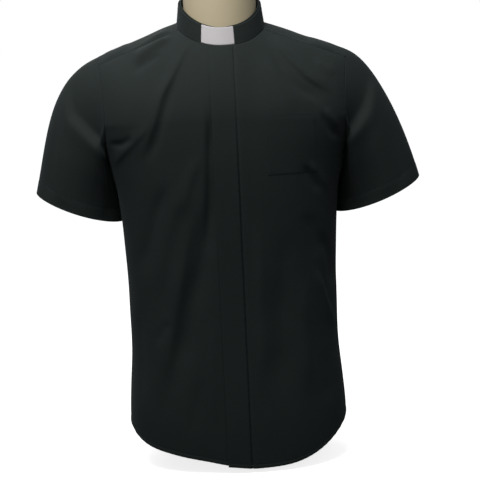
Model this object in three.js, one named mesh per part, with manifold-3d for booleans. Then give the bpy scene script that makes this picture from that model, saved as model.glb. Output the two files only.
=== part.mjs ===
// A short-sleeved clergy shirt, worn by a limbless display form on a small stand.
// Millimetres, +Z up. The wearer faces -Y, so +X is the wearer's left and the viewer's right.
// The origin is the centre of the stand's underside.
import * as THREE from 'three';
import { mergeVertices } from 'three/addons/utils/BufferGeometryUtils.js';
import Module from 'manifold-3d';

// Cloth
const CLOTH = 2;
const COLLAR_CLOTH = 1.5;
const TAB_THICKNESS = 1;
const SEAM_GAP = 0.3;
const SEAM_BEVEL = 0.9;

// Heights of the shirt
const HEM_Z = 8;
const ARMPIT_Z = 534;
const CHEST_Z = 590;
const YOKE_BACK_Z = 676;

// Body: half-width, front depth and back depth at each height
const BODY = [
  { z: 0, width: 186, front: 118, back: 116 },
  { z: 90, width: 187, front: 117, back: 115 },
  { z: 140, width: 183.5, front: 115, back: 112 },
  { z: 200, width: 179, front: 113, back: 107 },
  { z: 280, width: 178, front: 112, back: 103 },
  { z: 350, width: 179.5, front: 114, back: 104 },
  { z: 430, width: 183.5, front: 119, back: 110 },
  { z: 490, width: 191, front: 123, back: 115 },
  { z: 534, width: 201.5, front: 125, back: 118 },
  { z: 562, width: 213, front: 125, back: 119 },
  { z: 590, width: 224, front: 124, back: 119 },
];
const BODY_SQUARENESS = 2.6;
const SHOULDER_ROUNDNESS = 1.7;

// Shoulder ridge: its height at the neck's side, its fall outwards and its rounding at the neck
const RIDGE = { y: 5, neckX: 73.5, neckZ: 752, fall: 0.395, rounding: 40 };
const SHOULDER_TIP_X = 209;
const ARM_HOLLOW = 5;
// The wearer's left shoulder sits this much lower
const LEFT_DROP = { height: 5.5, acrossX: 60, overZ: 130 };

// Neckline and collar, as ellipses seen from above
const NECKLINE = { width: 73.5, depth: 67.5, y: -12 };
const COLLAR_TOP = { width: 69, depth: 63.5, y: -11 };
const COLLAR_HEIGHT = { front: 30, side: 35, back: 40 };
const TAB_WINDOW = { right: -31.5, left: 20.5 };
const TAB_TUCK = 9;
const BAND_STEP = 1.2;
const BAND_DIP = 0.12;
const COLLAR_LIFT = 1.2;

// Closing: the band's free edge and seam, and how far the front passes under it
const FLY_SEAM_X = 19.2;
const FLY_EDGE_X = -21;
const UNDERLAP_X = 14;
const LAYER = CLOTH + 0.6;
const LAYER_FADE = 70;
const FLY_FADE = 25;
const UNDERLAP_FADE = 30;

// Yoke: how far its front seam lies before the ridge at the neck and at the arm
const YOKE_FRONT = { neckY: -34, armZ: 688 };
const YOKE_BACK_ARM_Z = 664;
// Angle round the neckline that the corner between armhole and back seam faces
const YOKE_CORNER = 118;

// Hem: how far each front's edge climbs evenly to its side and in its turn there, and the band's
// climb to its free edge
const HEM = {
  right: { slope: 41.5, turn: 27, power: 12 },
  left: { slope: 0, turn: 66, power: 3.2 },
  band: 4.7,
  backPower: 3,
};

// Sleeves: the cuff's centre, its half sizes and how it is turned, and how far its inner corner
// hangs behind the body's widest line and in towards it
const CUFF = { x: 256.8, y: -1, z: 448.5, across: 75.5, deep: 50, tilt: 22.4, nod: 9 };
const CUFF_CORNER = { behind: 34, inward: 5, power: 3 };
// How a sleeve leaves the armhole and arrives at the cuff, in degrees from level and from plumb
const SLEEVE = {
  leave: { over: 20, under: 92 },
  arrive: { over: 15, under: 3 },
  reach: { right: 93, left: 60, under: 36 },
};
// The empty sleeve head sinks in beside the armhole and breaks over in an arc further out: share
// of the way down to the arc and depth above it, by the angle up from the armpit
const HOLLOW = [
  { angle: 40, at: 0, depth: 0 },
  { angle: 56, at: 0.12, depth: 8 },
  { angle: 72, at: 0.2, depth: 11 },
  { angle: 92, at: 0.27, depth: 10 },
  { angle: 112, at: 0.31, depth: 8 },
  { angle: 132, at: 0.33, depth: 6 },
  { angle: 152, at: 0.3, depth: 3.5 },
  { angle: 180, at: 0.2, depth: 0 },
];
const HOLLOW_EDGE = { behind: 0.6, width: 0.08, seam: 0.05, arc: 3, arcWidth: 0.1 };

// Chest pocket on the wearer's left
const POCKET = { left: 65, right: 146, bottom: 501, top: 622, cloth: 1.2, lift: 0.6 };

// Largest folds on each front: a line from its upper to its lower end, its half-width and height.
// x runs from the closing to the side seam.
const FRONT_FOLDS = {
  right: [
    { x1: 58, z1: 690, x2: 150, z2: 535, width: 15, height: 5 },
    { x1: 84, z1: 640, x2: 142, z2: 520, width: 12, height: -5 },
    { x1: 30, z1: 510, x2: 84, z2: 150, width: 21, height: -9 },
    { x1: 88, z1: 400, x2: 142, z2: 120, width: 19, height: 6 },
    { x1: 96, z1: 500, x2: 146, z2: 330, width: 14, height: -4 },
  ],
  left: [
    { x1: 86, z1: 690, x2: 150, z2: 640, width: 13, height: -4 },
    { x1: 70, z1: 430, x2: 58, z2: 110, width: 20, height: 5 },
    { x1: 112, z1: 400, x2: 104, z2: 90, width: 18, height: -6 },
    { x1: 124, z1: 430, x2: 160, z2: 345, width: 12, height: -5 },
  ],
};
// The same on the back, where x runs from the wearer's right to the left
const BACK_FOLDS = [
  { x1: -92, z1: 600, x2: -64, z2: 170, width: 22, height: -8 },
  { x1: -40, z1: 480, x2: -28, z2: 90, width: 20, height: 6 },
  { x1: 18, z1: 560, x2: 34, z2: 150, width: 20, height: -7 },
  { x1: 96, z1: 600, x2: 84, z2: 130, width: 22, height: -8 },
  { x1: 126, z1: 430, x2: 134, z2: 120, width: 18, height: 6 },
];
// How far a fold runs on past its ends, in half-widths, and how close to the seams it fades
const FOLD_END = 2.2;
const FOLD_FADE = { side: 30, arm: 10, yoke: 60, middle: 60 };

// Display form and stand
const FORM = [
  { z: 150, width: 128, front: 84, back: 84 },
  { z: 156, width: 136, front: 91, back: 90 },
  { z: 200, width: 153, front: 97, back: 96 },
  { z: 270, width: 147, front: 93, back: 86 },
  { z: 340, width: 142, front: 93, back: 80 },
  { z: 430, width: 158, front: 104, back: 92 },
  { z: 520, width: 178, front: 113, back: 106 },
  { z: 590, width: 186, front: 112, back: 108 },
];
const SHOULDER_RINGS = [620, 650, 672, 688, 700, 710, 720, 730, 738, 744, 748];
const FORM_NECK = [
  { z: 640, width: 61, depth: 57 },
  { z: 762, width: 61, depth: 57 },
  { z: 785, width: 60.5, depth: 56 },
  { z: 802, width: 60, depth: 55.5 },
  { z: 810, width: 57, depth: 52.5 },
  { z: 814, width: 50, depth: 46 },
];
const FORM_BELOW_SHIRT = 3.25;
const FORM_SHOULDER = { x: 196, drop: 16, step: 0.05 };
const FORM_COLUMNS = 36;
const POLE = { radius: 16, sides: 24 };
const BASE = { radius: 68, thickness: 8, edge: 2, sides: 48 };

// Grid
const SIDE_COLUMNS = 12;
const BODY_ROWS = 13;
const CENTRE_ROWS = 5;
const NECK_ROWS = 4;
const ARM_ROWS = CENTRE_ROWS + NECK_ROWS;
const YOKE_ARM_STEPS = 3;
const BACK_ARM_ROWS = 6;
const SLEEVE_SHARES = [1, 0.86, 0.71, 0.57, 0.45, 0.35, 0.27, 0.17, 0.07, 0];
const COLLAR_ROWS = 2;
const POCKET_CELLS = 8;

const FRONT = -1;
const BACK = 1;

// Plain helpers
const clamp = (value, low, high) => Math.min(Math.max(value, low), high);
const mix = (a, b, t) => a + (b - a) * t;
const ease = (t) => clamp(t, 0, 1) ** 2 * (3 - 2 * clamp(t, 0, 1));
const range = (count) => Array.from({ length: count }, (_, i) => i);
const radians = (degrees) => (degrees * Math.PI) / 180;
const TURN = 2 * Math.PI;
const MERGE_DISTANCE = 1e-4;

// A row of a table at a place between its rows, which is a height where no other key is given
function tableAt(table, place, key = 'z') {
  const last = table.length - 1;
  const at = clamp(table.findIndex((row) => row[key] > place) - 1, 0, last - 1);
  const from = place >= table[last][key] ? last - 1 : at;
  const t = ease((place - table[from][key]) / (table[from + 1][key] - table[from][key]));
  const names = Object.keys(table[0]);
  return Object.fromEntries(names.map((n) => [n, mix(table[from][n], table[from + 1][n], t)]));
}

// Shape of the worn shirt

// Height of the shoulder ridge, which is rounded across the neck
function ridgeAt(x) {
  const { neckX, neckZ, fall, rounding } = RIDGE;
  return neckZ - fall * (Math.hypot(x, rounding) - Math.hypot(neckX, rounding));
}

// Depth of the body's wall before or behind the middle plane, signed along y
function depthAt(x, z, facing) {
  const section = tableAt(BODY, Math.min(z, CHEST_Z));
  const across = Math.min(Math.abs(x) / section.width, 1);
  const depth = facing === FRONT ? section.front : section.back;
  return facing * depth * (1 - across ** BODY_SQUARENESS) ** (1 / BODY_SQUARENESS);
}

// The wall's level runs from 0 at the chest to 1 on the ridge, and is negative below the chest
const riseOf = (level) =>
  level < 0 ? SHOULDER_ROUNDNESS * level : 1 - (1 - level) ** SHOULDER_ROUNDNESS;
const levelOfRise = (rise) =>
  rise < 0 ? rise / SHOULDER_ROUNDNESS : 1 - (1 - rise) ** (1 / SHOULDER_ROUNDNESS);
const levelOfHeight = (x, z) => levelOfRise((z - CHEST_Z) / (ridgeAt(x) - CHEST_Z));

function bodyPoint(x, level, facing) {
  const rise = riseOf(level);
  const z = CHEST_Z + (ridgeAt(x) - CHEST_Z) * rise;
  const depth = depthAt(x, z, facing);
  if (rise <= 0) return new THREE.Vector3(x, depth, z);
  const inwards = (1 - Math.min(rise, 1) ** SHOULDER_ROUNDNESS) ** (1 / SHOULDER_ROUNDNESS);
  return new THREE.Vector3(x, RIDGE.y + (depth - RIDGE.y) * inwards, z);
}

// Point of the shoulders over a place in plan
function shoulderPoint(x, y) {
  const facing = y < RIDGE.y ? FRONT : BACK;
  const reach = depthAt(x, CHEST_Z, facing) - RIDGE.y;
  const part = clamp((y - RIDGE.y) / reach, 0, 1);
  const rise = (1 - part ** SHOULDER_ROUNDNESS) ** (1 / SHOULDER_ROUNDNESS);
  return new THREE.Vector3(x, y, CHEST_Z + (ridgeAt(x) - CHEST_Z) * rise);
}

// Neckline, by the angle from the centre front
function neckPoint(angle) {
  const x = NECKLINE.width * Math.sin(angle);
  return shoulderPoint(x, NECKLINE.y - NECKLINE.depth * Math.cos(angle));
}
const neckAngle = (x) => Math.asin(x / NECKLINE.width);

// Armhole, by the angle from the armpit up to the shoulder tip
const ARM_TOP_Z = ridgeAt(SHOULDER_TIP_X);
const armAngle = (z) => Math.acos(1 - (2 * (z - ARMPIT_Z)) / (ARM_TOP_Z - ARMPIT_Z));
function armPoint(angle, facing) {
  const part = (1 - Math.cos(angle)) / 2;
  const z = mix(ARMPIT_Z, ARM_TOP_Z, part);
  const armpitX = tableAt(BODY, ARMPIT_Z).width;
  const x = mix(armpitX, SHOULDER_TIP_X, part * part) - ARM_HOLLOW * Math.sin(Math.PI * part);
  return bodyPoint(x, Math.min(levelOfHeight(x, z), 1), facing);
}

const YOKE_NECK_ANGLE = Math.acos((NECKLINE.y - YOKE_FRONT.neckY) / NECKLINE.depth);
const YOKE_FRONT_ARM = armAngle(YOKE_FRONT.armZ);
const YOKE_BACK_ARM = armAngle(YOKE_BACK_ARM_Z);

// Shares of the way from the centre to the side, evenly spaced along the chest's curve
function evenShares(count) {
  const fine = 400;
  const { width, front } = tableAt(BODY, ARMPIT_Z);
  const curve = range(fine + 1).map((i) => {
    const turn = (Math.PI / 2) * (i / fine);
    const x = Math.sin(turn) ** (2 / BODY_SQUARENESS);
    return { x, y: (front / width) * Math.cos(turn) ** (2 / BODY_SQUARENESS), run: 0 };
  });
  for (const i of range(fine)) {
    const step = Math.hypot(curve[i + 1].x - curve[i].x, curve[i + 1].y - curve[i].y);
    curve[i + 1].run = curve[i].run + step;
  }
  const whole = curve[fine].run;
  const shares = range(count + 1).map((k) => curve.find((p) => p.run >= (whole * k) / count - 1e-9).x);
  shares[0] = 0;
  shares[count] = 1;
  return shares;
}
const SHARES = evenShares(SIDE_COLUMNS);

// Folds

// Height of a soft ridge or trough beside its line, fading past both ends
function foldHeight(fold, x, z) {
  const dx = fold.x2 - fold.x1;
  const dz = fold.z2 - fold.z1;
  const long = Math.hypot(dx, dz);
  const along = ((x - fold.x1) * dx + (z - fold.z1) * dz) / long;
  const aside = ((x - fold.x1) * dz - (z - fold.z1) * dx) / long;
  const past = Math.max(-along, along - long, 0);
  return fold.height * Math.exp(-((aside / fold.width) ** 2) - (past / (FOLD_END * fold.width)) ** 2);
}
const foldsHeight = (folds, x, z) => folds.reduce((sum, fold) => sum + foldHeight(fold, x, z), 0);

// 0 at the side seam, the armhole and the yoke, and 1 a little way in
function awayFromSeams(x, y, z) {
  const side = tableAt(BODY, Math.min(z, CHEST_Z)).width;
  const edge = z < ARMPIT_Z ? side : SHOULDER_TIP_X - FOLD_FADE.arm;
  const fromSide = (edge - Math.abs(x)) / FOLD_FADE.side;
  const fromYoke = (ridgeAt(x) - z) / FOLD_FADE.yoke;
  return ease(fromSide) * ease(fromYoke) * ease(Math.abs(y) / FOLD_FADE.middle);
}

// Grids. Rows run up the cloth and columns run counterclockwise seen from above.

// Outward directions at each point of a grid
function normalsOf(grid, closed) {
  const columns = grid[0].length;
  const column = (j) => (closed ? (j + columns) % columns : clamp(j, 0, columns - 1));
  return grid.map((row, i) =>
    row.map((_, j) => {
      const along = row[column(j + 1)].clone().sub(row[column(j - 1)]);
      const above = grid[Math.min(i + 1, grid.length - 1)][j];
      const below = grid[Math.max(i - 1, 0)][j];
      return along.cross(above.clone().sub(below)).normalize();
    }),
  );
}

// The grid moved outwards by a height worked out at each point
function raised(grid, heightAt, closed = false) {
  const normals = normalsOf(grid, closed);
  return grid.map((row, i) =>
    row.map((p, j) => p.clone().addScaledVector(normals[i][j], heightAt(p, i, j))),
  );
}

const mirrored = (grid) =>
  grid.map((row) => row.map((p) => new THREE.Vector3(-p.x, p.y, p.z)).reverse());

// The grid with its edges drawn in, so that pieces lie a seam's gap apart
function drawnIn(grid, distance, closed) {
  const last = grid.length - 1;
  const end = grid[0].length - 1;
  const towards = (p, target) => target.clone().sub(p).setLength(distance);
  return grid.map((row, i) =>
    row.map((p, j) => {
      const moved = p.clone();
      if (i === 0) moved.add(towards(p, grid[1][j]));
      if (i === last) moved.add(towards(p, grid[last - 1][j]));
      if (!closed && j === 0) moved.add(towards(p, row[1]));
      if (!closed && j === end) moved.add(towards(p, row[end - 1]));
      return moved;
    }),
  );
}

// The wearer's stance: everything on the left shoulder comes down a little
const dropAt = (x, z) =>
  LEFT_DROP.height * ease(x / LEFT_DROP.acrossX) * ease((z - ARMPIT_Z) / LEFT_DROP.overZ);

// Closed body from triangles given as indices into points
function solidOf(points, triangles) {
  const geometry = new THREE.BufferGeometry();
  const positions = points.flatMap((p) => [p.x, p.y, p.z - dropAt(p.x, p.z)]);
  geometry.setAttribute('position', new THREE.Float32BufferAttribute(positions, 3));
  geometry.setIndex(triangles.flat());
  return geometry;
}

// Cloth wall between an outer grid and the same grid moved in by the cloth's thickness
function wall(grid, thickness = CLOTH, closed = false) {
  const outer = drawnIn(grid, SEAM_GAP / 2, closed);
  const normals = normalsOf(outer, closed);
  const inner = drawnIn(outer, SEAM_BEVEL, closed).map((row, i) =>
    row.map((p, j) => p.addScaledVector(normals[i][j], -thickness)),
  );
  const rows = grid.length;
  const columns = grid[0].length;
  const out = (i, j) => i * columns + (j % columns);
  const into = (i, j) => rows * columns + out(i, j);
  const triangles = [];
  const quad = (a, b, c, d) => triangles.push([a, b, c], [a, c, d]);
  const spans = range(closed ? columns : columns - 1);
  for (const i of range(rows - 1)) {
    for (const j of spans) {
      quad(out(i, j), out(i, j + 1), out(i + 1, j + 1), out(i + 1, j));
      quad(into(i, j), into(i + 1, j), into(i + 1, j + 1), into(i, j + 1));
    }
  }
  for (const j of spans) {
    quad(into(0, j), into(0, j + 1), out(0, j + 1), out(0, j));
    quad(out(rows - 1, j), out(rows - 1, j + 1), into(rows - 1, j + 1), into(rows - 1, j));
  }
  if (!closed) {
    const end = columns - 1;
    for (const i of range(rows - 1)) {
      quad(out(i, 0), out(i + 1, 0), into(i + 1, 0), into(i, 0));
      quad(into(i, end), into(i + 1, end), out(i + 1, end), out(i, end));
    }
  }
  return solidOf([...outer.flat(), ...inner.flat()], triangles);
}

// Solid through closed rings from its bottom to its top, with flat ends
function stacked(rings) {
  const columns = rings[0].length;
  const at = (i, j) => i * columns + (j % columns);
  const triangles = [];
  for (const i of range(rings.length - 1)) {
    for (const j of range(columns)) {
      triangles.push([at(i, j), at(i, j + 1), at(i + 1, j + 1)]);
      triangles.push([at(i, j), at(i + 1, j + 1), at(i + 1, j)]);
    }
  }
  const top = rings.length - 1;
  for (const j of range(columns - 2)) {
    triangles.push([at(0, 0), at(0, j + 2), at(0, j + 1)]);
    triangles.push([at(top, 0), at(top, j + 1), at(top, j + 2)]);
  }
  return solidOf(rings.flat(), triangles);
}

// Fronts, worked out as the wearer's left and mirrored for the right

const hemAt = (hem, share) => HEM_Z + hem.slope * share + hem.turn * share ** hem.power;

// Level on the centre front, from the armpit's height up to the neckline
function centreLevel(row, x) {
  const neck = neckPoint(neckAngle(x));
  return mix(levelOfHeight(x, ARMPIT_Z), levelOfHeight(x, neck.z), row / CENTRE_ROWS);
}

// The two ends of a row above the armpit
function upperEnds(row, edge) {
  const arm = armPoint((YOKE_FRONT_ARM * row) / ARM_ROWS, FRONT);
  const right = { x: arm.x, level: levelOfHeight(arm.x, arm.z) };
  if (row <= CENTRE_ROWS) return { left: { x: edge, level: centreLevel(row, edge) }, right, bend: 2 };
  const part = (row - CENTRE_ROWS) / NECK_ROWS;
  const neck = neckPoint(mix(neckAngle(edge), YOKE_NECK_ANGLE, part));
  return { left: { x: neck.x, level: levelOfHeight(neck.x, neck.z) }, right, bend: 2 - part };
}

function upperPoint(row, edge, share) {
  const { left, right, bend } = upperEnds(row, edge);
  const level = mix(left.level, right.level, share ** bend);
  return bodyPoint(mix(left.x, right.x, share), level, FRONT);
}

const wallPoint = (x, z, facing) => new THREE.Vector3(x, depthAt(x, z, facing), z);

function frontGrid(edge, hem) {
  const lower = range(BODY_ROWS).map((i) =>
    SHARES.map((share) => {
      const z = mix(hemAt(hem, share), upperPoint(0, edge, share).z, i / BODY_ROWS);
      return wallPoint(mix(edge, tableAt(BODY, z).width, share), z, FRONT);
    }),
  );
  const upper = range(ARM_ROWS + 1).map((i) => SHARES.map((share) => upperPoint(i, edge, share)));
  return [...lower, ...upper];
}

// Height that the overlapping front gains beside the closing
const layerHeight = (x) => LAYER * (1 - ease((x - FLY_SEAM_X) / LAYER_FADE));

function frontLeft() {
  return raised(frontGrid(FLY_SEAM_X, HEM.left), (p) => {
    const folds = foldsHeight(FRONT_FOLDS.left, p.x, p.z) * awayFromSeams(p.x, p.y, p.z);
    return folds * ease((p.x - FLY_SEAM_X) / FLY_FADE) + layerHeight(p.x);
  });
}

function frontRight() {
  const grid = raised(frontGrid(-UNDERLAP_X, HEM.right), (p) => {
    const folds = foldsHeight(FRONT_FOLDS.right, p.x, p.z) * awayFromSeams(p.x, p.y, p.z);
    return folds * ease((p.x + UNDERLAP_X) / UNDERLAP_FADE);
  });
  return mirrored(grid);
}

// Band of the closing, which lies over the right front
const FLY_SHARES = [0, 0.35, 0.7, 1];
function flyBand() {
  const lower = range(BODY_ROWS).map((i) =>
    FLY_SHARES.map((share) => {
      const z = mix(HEM_Z + HEM.band * (1 - share), ARMPIT_Z, i / BODY_ROWS);
      return wallPoint(mix(FLY_EDGE_X, FLY_SEAM_X, share), z, FRONT);
    }),
  );
  const upper = range(CENTRE_ROWS + 1).map((row) =>
    FLY_SHARES.map((share) => {
      const x = mix(FLY_EDGE_X, FLY_SEAM_X, share);
      return bodyPoint(x, centreLevel(row, x), FRONT);
    }),
  );
  return raised([...lower, ...upper], (p) => {
    const beside = ease((UNDERLAP_X - p.x) / UNDERLAP_FADE);
    const under = foldsHeight(FRONT_FOLDS.right, -p.x, p.z) * beside;
    return LAYER + Math.max(under * awayFromSeams(p.x, p.y, p.z), 0);
  });
}

function pocket() {
  const parts = range(POCKET_CELLS + 1).map((k) => k / POCKET_CELLS);
  const grid = parts.map((up) =>
    parts.map((across) => {
      const x = mix(POCKET.left, POCKET.right, across);
      return bodyPoint(x, levelOfHeight(x, mix(POCKET.bottom, POCKET.top, up)), FRONT);
    }),
  );
  const out = POCKET.lift + POCKET.cloth;
  return raised(grid, (p) => {
    const folds = foldsHeight(FRONT_FOLDS.left, p.x, p.z) * awayFromSeams(p.x, p.y, p.z);
    return out + folds + layerHeight(p.x);
  });
}

// Back and yoke

const backShares = [...SHARES.slice(1).map((s) => -s).reverse(), ...SHARES];

// The yoke's back seam, from the wearer's left armhole to the right
function backSeamPoint(share) {
  const arm = armPoint(YOKE_BACK_ARM, BACK);
  const z = mix(YOKE_BACK_Z, arm.z, share * share);
  return bodyPoint(arm.x * share, levelOfHeight(arm.x * share, z), BACK);
}

function back() {
  const upperRow = (row) =>
    backShares.map((share) => {
      const part = row / BACK_ARM_ROWS;
      const arm = armPoint(YOKE_BACK_ARM * part, BACK);
      const x = arm.x * share;
      const sideLevel = levelOfHeight(arm.x, arm.z);
      const centre = levelOfHeight(0, mix(ARMPIT_Z, YOKE_BACK_Z, part));
      const level = mix(centre, sideLevel, share * share);
      return part === 1 ? backSeamPoint(share) : bodyPoint(x, level, BACK);
    });
  const upper = range(BACK_ARM_ROWS + 1).map(upperRow);
  const lower = range(BODY_ROWS).map((i) =>
    backShares.map((share, j) => {
      const { slope, turn } = share < 0 ? HEM.right : HEM.left;
      const hemZ = HEM_Z + (slope + turn) * Math.abs(share) ** HEM.backPower;
      const z = mix(hemZ, upper[0][j].z, i / BODY_ROWS);
      return wallPoint(tableAt(BODY, z).width * share, z, BACK);
    }),
  );
  return raised(
    [...lower, ...upper].map((row) => row.reverse()),
    (p) => foldsHeight(BACK_FOLDS, p.x, p.z) * awayFromSeams(p.x, p.y, p.z),
  );
}

// Outer edge of the yoke: round one armhole, along the back seam and round the other armhole
function yokeOuter() {
  const steps = range(YOKE_ARM_STEPS + 1).map((k) => k / YOKE_ARM_STEPS);
  const before = steps.map((t) => armPoint(mix(YOKE_FRONT_ARM, Math.PI, t), FRONT));
  const behind = steps.slice(1).map((t) => armPoint(mix(Math.PI, YOKE_BACK_ARM, t), BACK));
  const seam = backShares.slice(1, -1).reverse().map(backSeamPoint);
  const half = [...before, ...behind];
  const other = half.map((p) => new THREE.Vector3(-p.x, p.y, p.z)).reverse();
  return [...half, ...seam, ...other];
}

// Angles round the neckline at the yoke's columns, from the wearer's left to the right
function yokeNeckAngles(last) {
  const armSteps = 2 * YOKE_ARM_STEPS;
  const seamStart = radians(YOKE_CORNER);
  const sideAngle = (steps) => mix(YOKE_NECK_ANGLE, seamStart, steps / armSteps);
  return range(last + 1).map((j) => {
    if (j <= armSteps) return sideAngle(j);
    if (j >= last - armSteps) return TURN - sideAngle(last - j);
    return mix(seamStart, TURN - seamStart, (j - armSteps) / (last - 2 * armSteps));
  });
}

function yoke() {
  const outer = yokeOuter();
  const last = outer.length - 1;
  const angles = yokeNeckAngles(last);
  const front = SHARES.map((share) => upperPoint(ARM_ROWS, FLY_SEAM_X, share));
  return SHARES.map((share, i) =>
    outer.map((edge, j) => {
      const neck = neckPoint(angles[j]);
      if (j === 0) return front[i].clone();
      if (j === last) return new THREE.Vector3(-front[i].x, front[i].y, front[i].z);
      if (i === SIDE_COLUMNS) return edge;
      return shoulderPoint(mix(neck.x, edge.x, share), mix(neck.y, edge.y, share));
    }),
  ).reverse();
}

// Sleeves, worked out as the wearer's left and mirrored for the right

// The armhole's ring, from the armpit round the front and over the shoulder to the back
function armRing() {
  const steps = (count) => range(count).map((k) => k / count);
  const before = steps(ARM_ROWS).map((t) => YOKE_FRONT_ARM * t);
  const over = steps(YOKE_ARM_STEPS).map((t) => mix(YOKE_FRONT_ARM, Math.PI, t));
  const behind = steps(YOKE_ARM_STEPS).map((t) => mix(Math.PI, YOKE_BACK_ARM, t));
  const down = steps(BACK_ARM_ROWS).map((t) => YOKE_BACK_ARM * (1 - t));
  return [
    ...[...before, ...over].map((angle) => ({ angle, facing: FRONT })),
    ...[...behind, ...down].map((angle) => ({ angle, facing: BACK })),
  ];
}

// Cuff point, by the same angle as the armhole's
function cuffPoint(angle, facing) {
  const tilt = radians(CUFF.tilt);
  const nod = radians(CUFF.nod);
  const across = -CUFF.across * Math.cos(angle);
  const deep = facing * CUFF.deep * Math.sin(angle);
  const corner = ((1 + Math.cos(angle)) / 2) ** CUFF_CORNER.power;
  const x = CUFF.x + across * Math.cos(tilt) - CUFF_CORNER.inward * corner;
  const y = CUFF.y + deep * Math.cos(nod) + CUFF_CORNER.behind * corner;
  return new THREE.Vector3(x, y, CUFF.z + across * Math.sin(tilt) + deep * Math.sin(nod));
}

// Height of the sleeve head's hollow and of the arc that it breaks over in
function hollowHeight(t, { angle, facing }) {
  const { at, depth } = tableAt(HOLLOW, (angle * 180) / Math.PI, 'angle');
  const { behind, width, seam, arc, arcWidth } = HOLLOW_EDGE;
  const sink = depth * ease((at - t) / width + 1) * ease(t / seam);
  const ridge = arc * Math.exp(-(((t - at - arcWidth) / arcWidth) ** 2)) * ease(depth / arc);
  return (facing === FRONT ? 1 : behind) * (ridge - sink);
}

function sleeve(reachTop) {
  const ring = armRing();
  const grid = SLEEVE_SHARES.map((t) =>
    ring.map(({ angle, facing }) => {
      const over = (1 - Math.cos(angle)) / 2;
      const start = armPoint(angle, facing);
      const end = cuffPoint(angle, facing);
      const leave = radians(mix(SLEEVE.leave.under, SLEEVE.leave.over, over));
      const arrive = radians(mix(SLEEVE.arrive.under, SLEEVE.arrive.over, over));
      const out = mix(SLEEVE.reach.under, reachTop, over);
      const a = start.clone().add(new THREE.Vector3(Math.cos(leave), 0, -Math.sin(leave)).setLength(out));
      const b = end.clone().sub(new THREE.Vector3(Math.sin(arrive), 0, -Math.cos(arrive)).setLength(out));
      return new THREE.CubicBezierCurve3(start, a, b, end).getPoint(t);
    }),
  );
  const sunk = (_, i, j) => hollowHeight(SLEEVE_SHARES[i], ring[j]);
  return raised(grid, sunk, true);
}

// Collar

const collarHeight = (angle) => {
  const turn = Math.cos(angle);
  const { front, side, back: behind } = COLLAR_HEIGHT;
  return turn > 0 ? mix(side, front, turn) : mix(side, behind, -turn);
};

// Point of the collar by the angle from the centre front, moved in from the outer face
function collarPoint(angle, part, inwards) {
  const base = neckPoint(angle);
  const top = collarHeight(angle);
  const width = mix(NECKLINE.width, COLLAR_TOP.width, part) - inwards;
  const depth = mix(NECKLINE.depth, COLLAR_TOP.depth, part) - inwards;
  const y = mix(NECKLINE.y, COLLAR_TOP.y, part) - depth * Math.cos(angle);
  const lift = 2 * SEAM_GAP + Math.min(inwards, 1) * COLLAR_LIFT;
  return new THREE.Vector3(width * Math.sin(angle), y, base.z + lift + top * part);
}

// Angles round the whole collar: the neckline's own points and the ends of window and tab
function collarAngles() {
  const frontAngles = (edge) =>
    range(NECK_ROWS).map((k) => mix(neckAngle(edge), YOKE_NECK_ANGLE, k / NECK_ROWS));
  const left = frontAngles(FLY_SEAM_X);
  const right = frontAngles(-UNDERLAP_X).map((angle) => -angle);
  const behind = yokeNeckAngles(yokeOuter().length - 1);
  const ends = [WINDOW_RIGHT - TUCK_ANGLE, WINDOW_RIGHT, 0, WINDOW_LEFT, WINDOW_LEFT + TUCK_ANGLE];
  const once = [...left, ...right, ...ends, ...behind];
  return [...once, ...once.map((a) => a + TURN)].sort((a, b) => a - b);
}

function collarGrid(from, to, inwards, top = () => 1) {
  const inside = collarAngles().filter((a) => a > from + ANGLE_GAP && a < to - ANGLE_GAP);
  const between = inside.filter((a, i) => i === 0 || a - inside[i - 1] > ANGLE_GAP);
  return range(COLLAR_ROWS + 1).map((i) =>
    [from, ...between, to].map((angle) =>
      collarPoint(angle, (top(angle) * i) / COLLAR_ROWS, inwards),
    ),
  );
}

const WINDOW_RIGHT = Math.asin(TAB_WINDOW.right / COLLAR_TOP.width);
const WINDOW_LEFT = Math.asin(TAB_WINDOW.left / COLLAR_TOP.width);
const TUCK_ANGLE = TAB_TUCK / COLLAR_TOP.width;
const TAB_INSET = COLLAR_CLOTH + SEAM_GAP;
const BAND_INSET = TAB_INSET + TAB_THICKNESS + SEAM_GAP;
const BAND_SPLIT = 0.004;
const TAB_SHARE = 0.95;
const ANGLE_GAP = 0.03;

const collarStand = () => collarGrid(WINDOW_LEFT, WINDOW_RIGHT + TURN, 0);
const collarTab = () =>
  collarGrid(WINDOW_RIGHT - TUCK_ANGLE, WINDOW_LEFT + TUCK_ANGLE, TAB_INSET, () => TAB_SHARE);
const collarBand = () =>
  collarGrid(BAND_SPLIT, TURN - BAND_SPLIT, BAND_INSET, (angle) => {
    const front = Math.exp(-((Math.sin(angle / 2) / BAND_DIP) ** 2));
    return 1 + (BAND_STEP * (1 - front) - COLLAR_LIFT) / collarHeight(angle);
  });

// Display form

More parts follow.
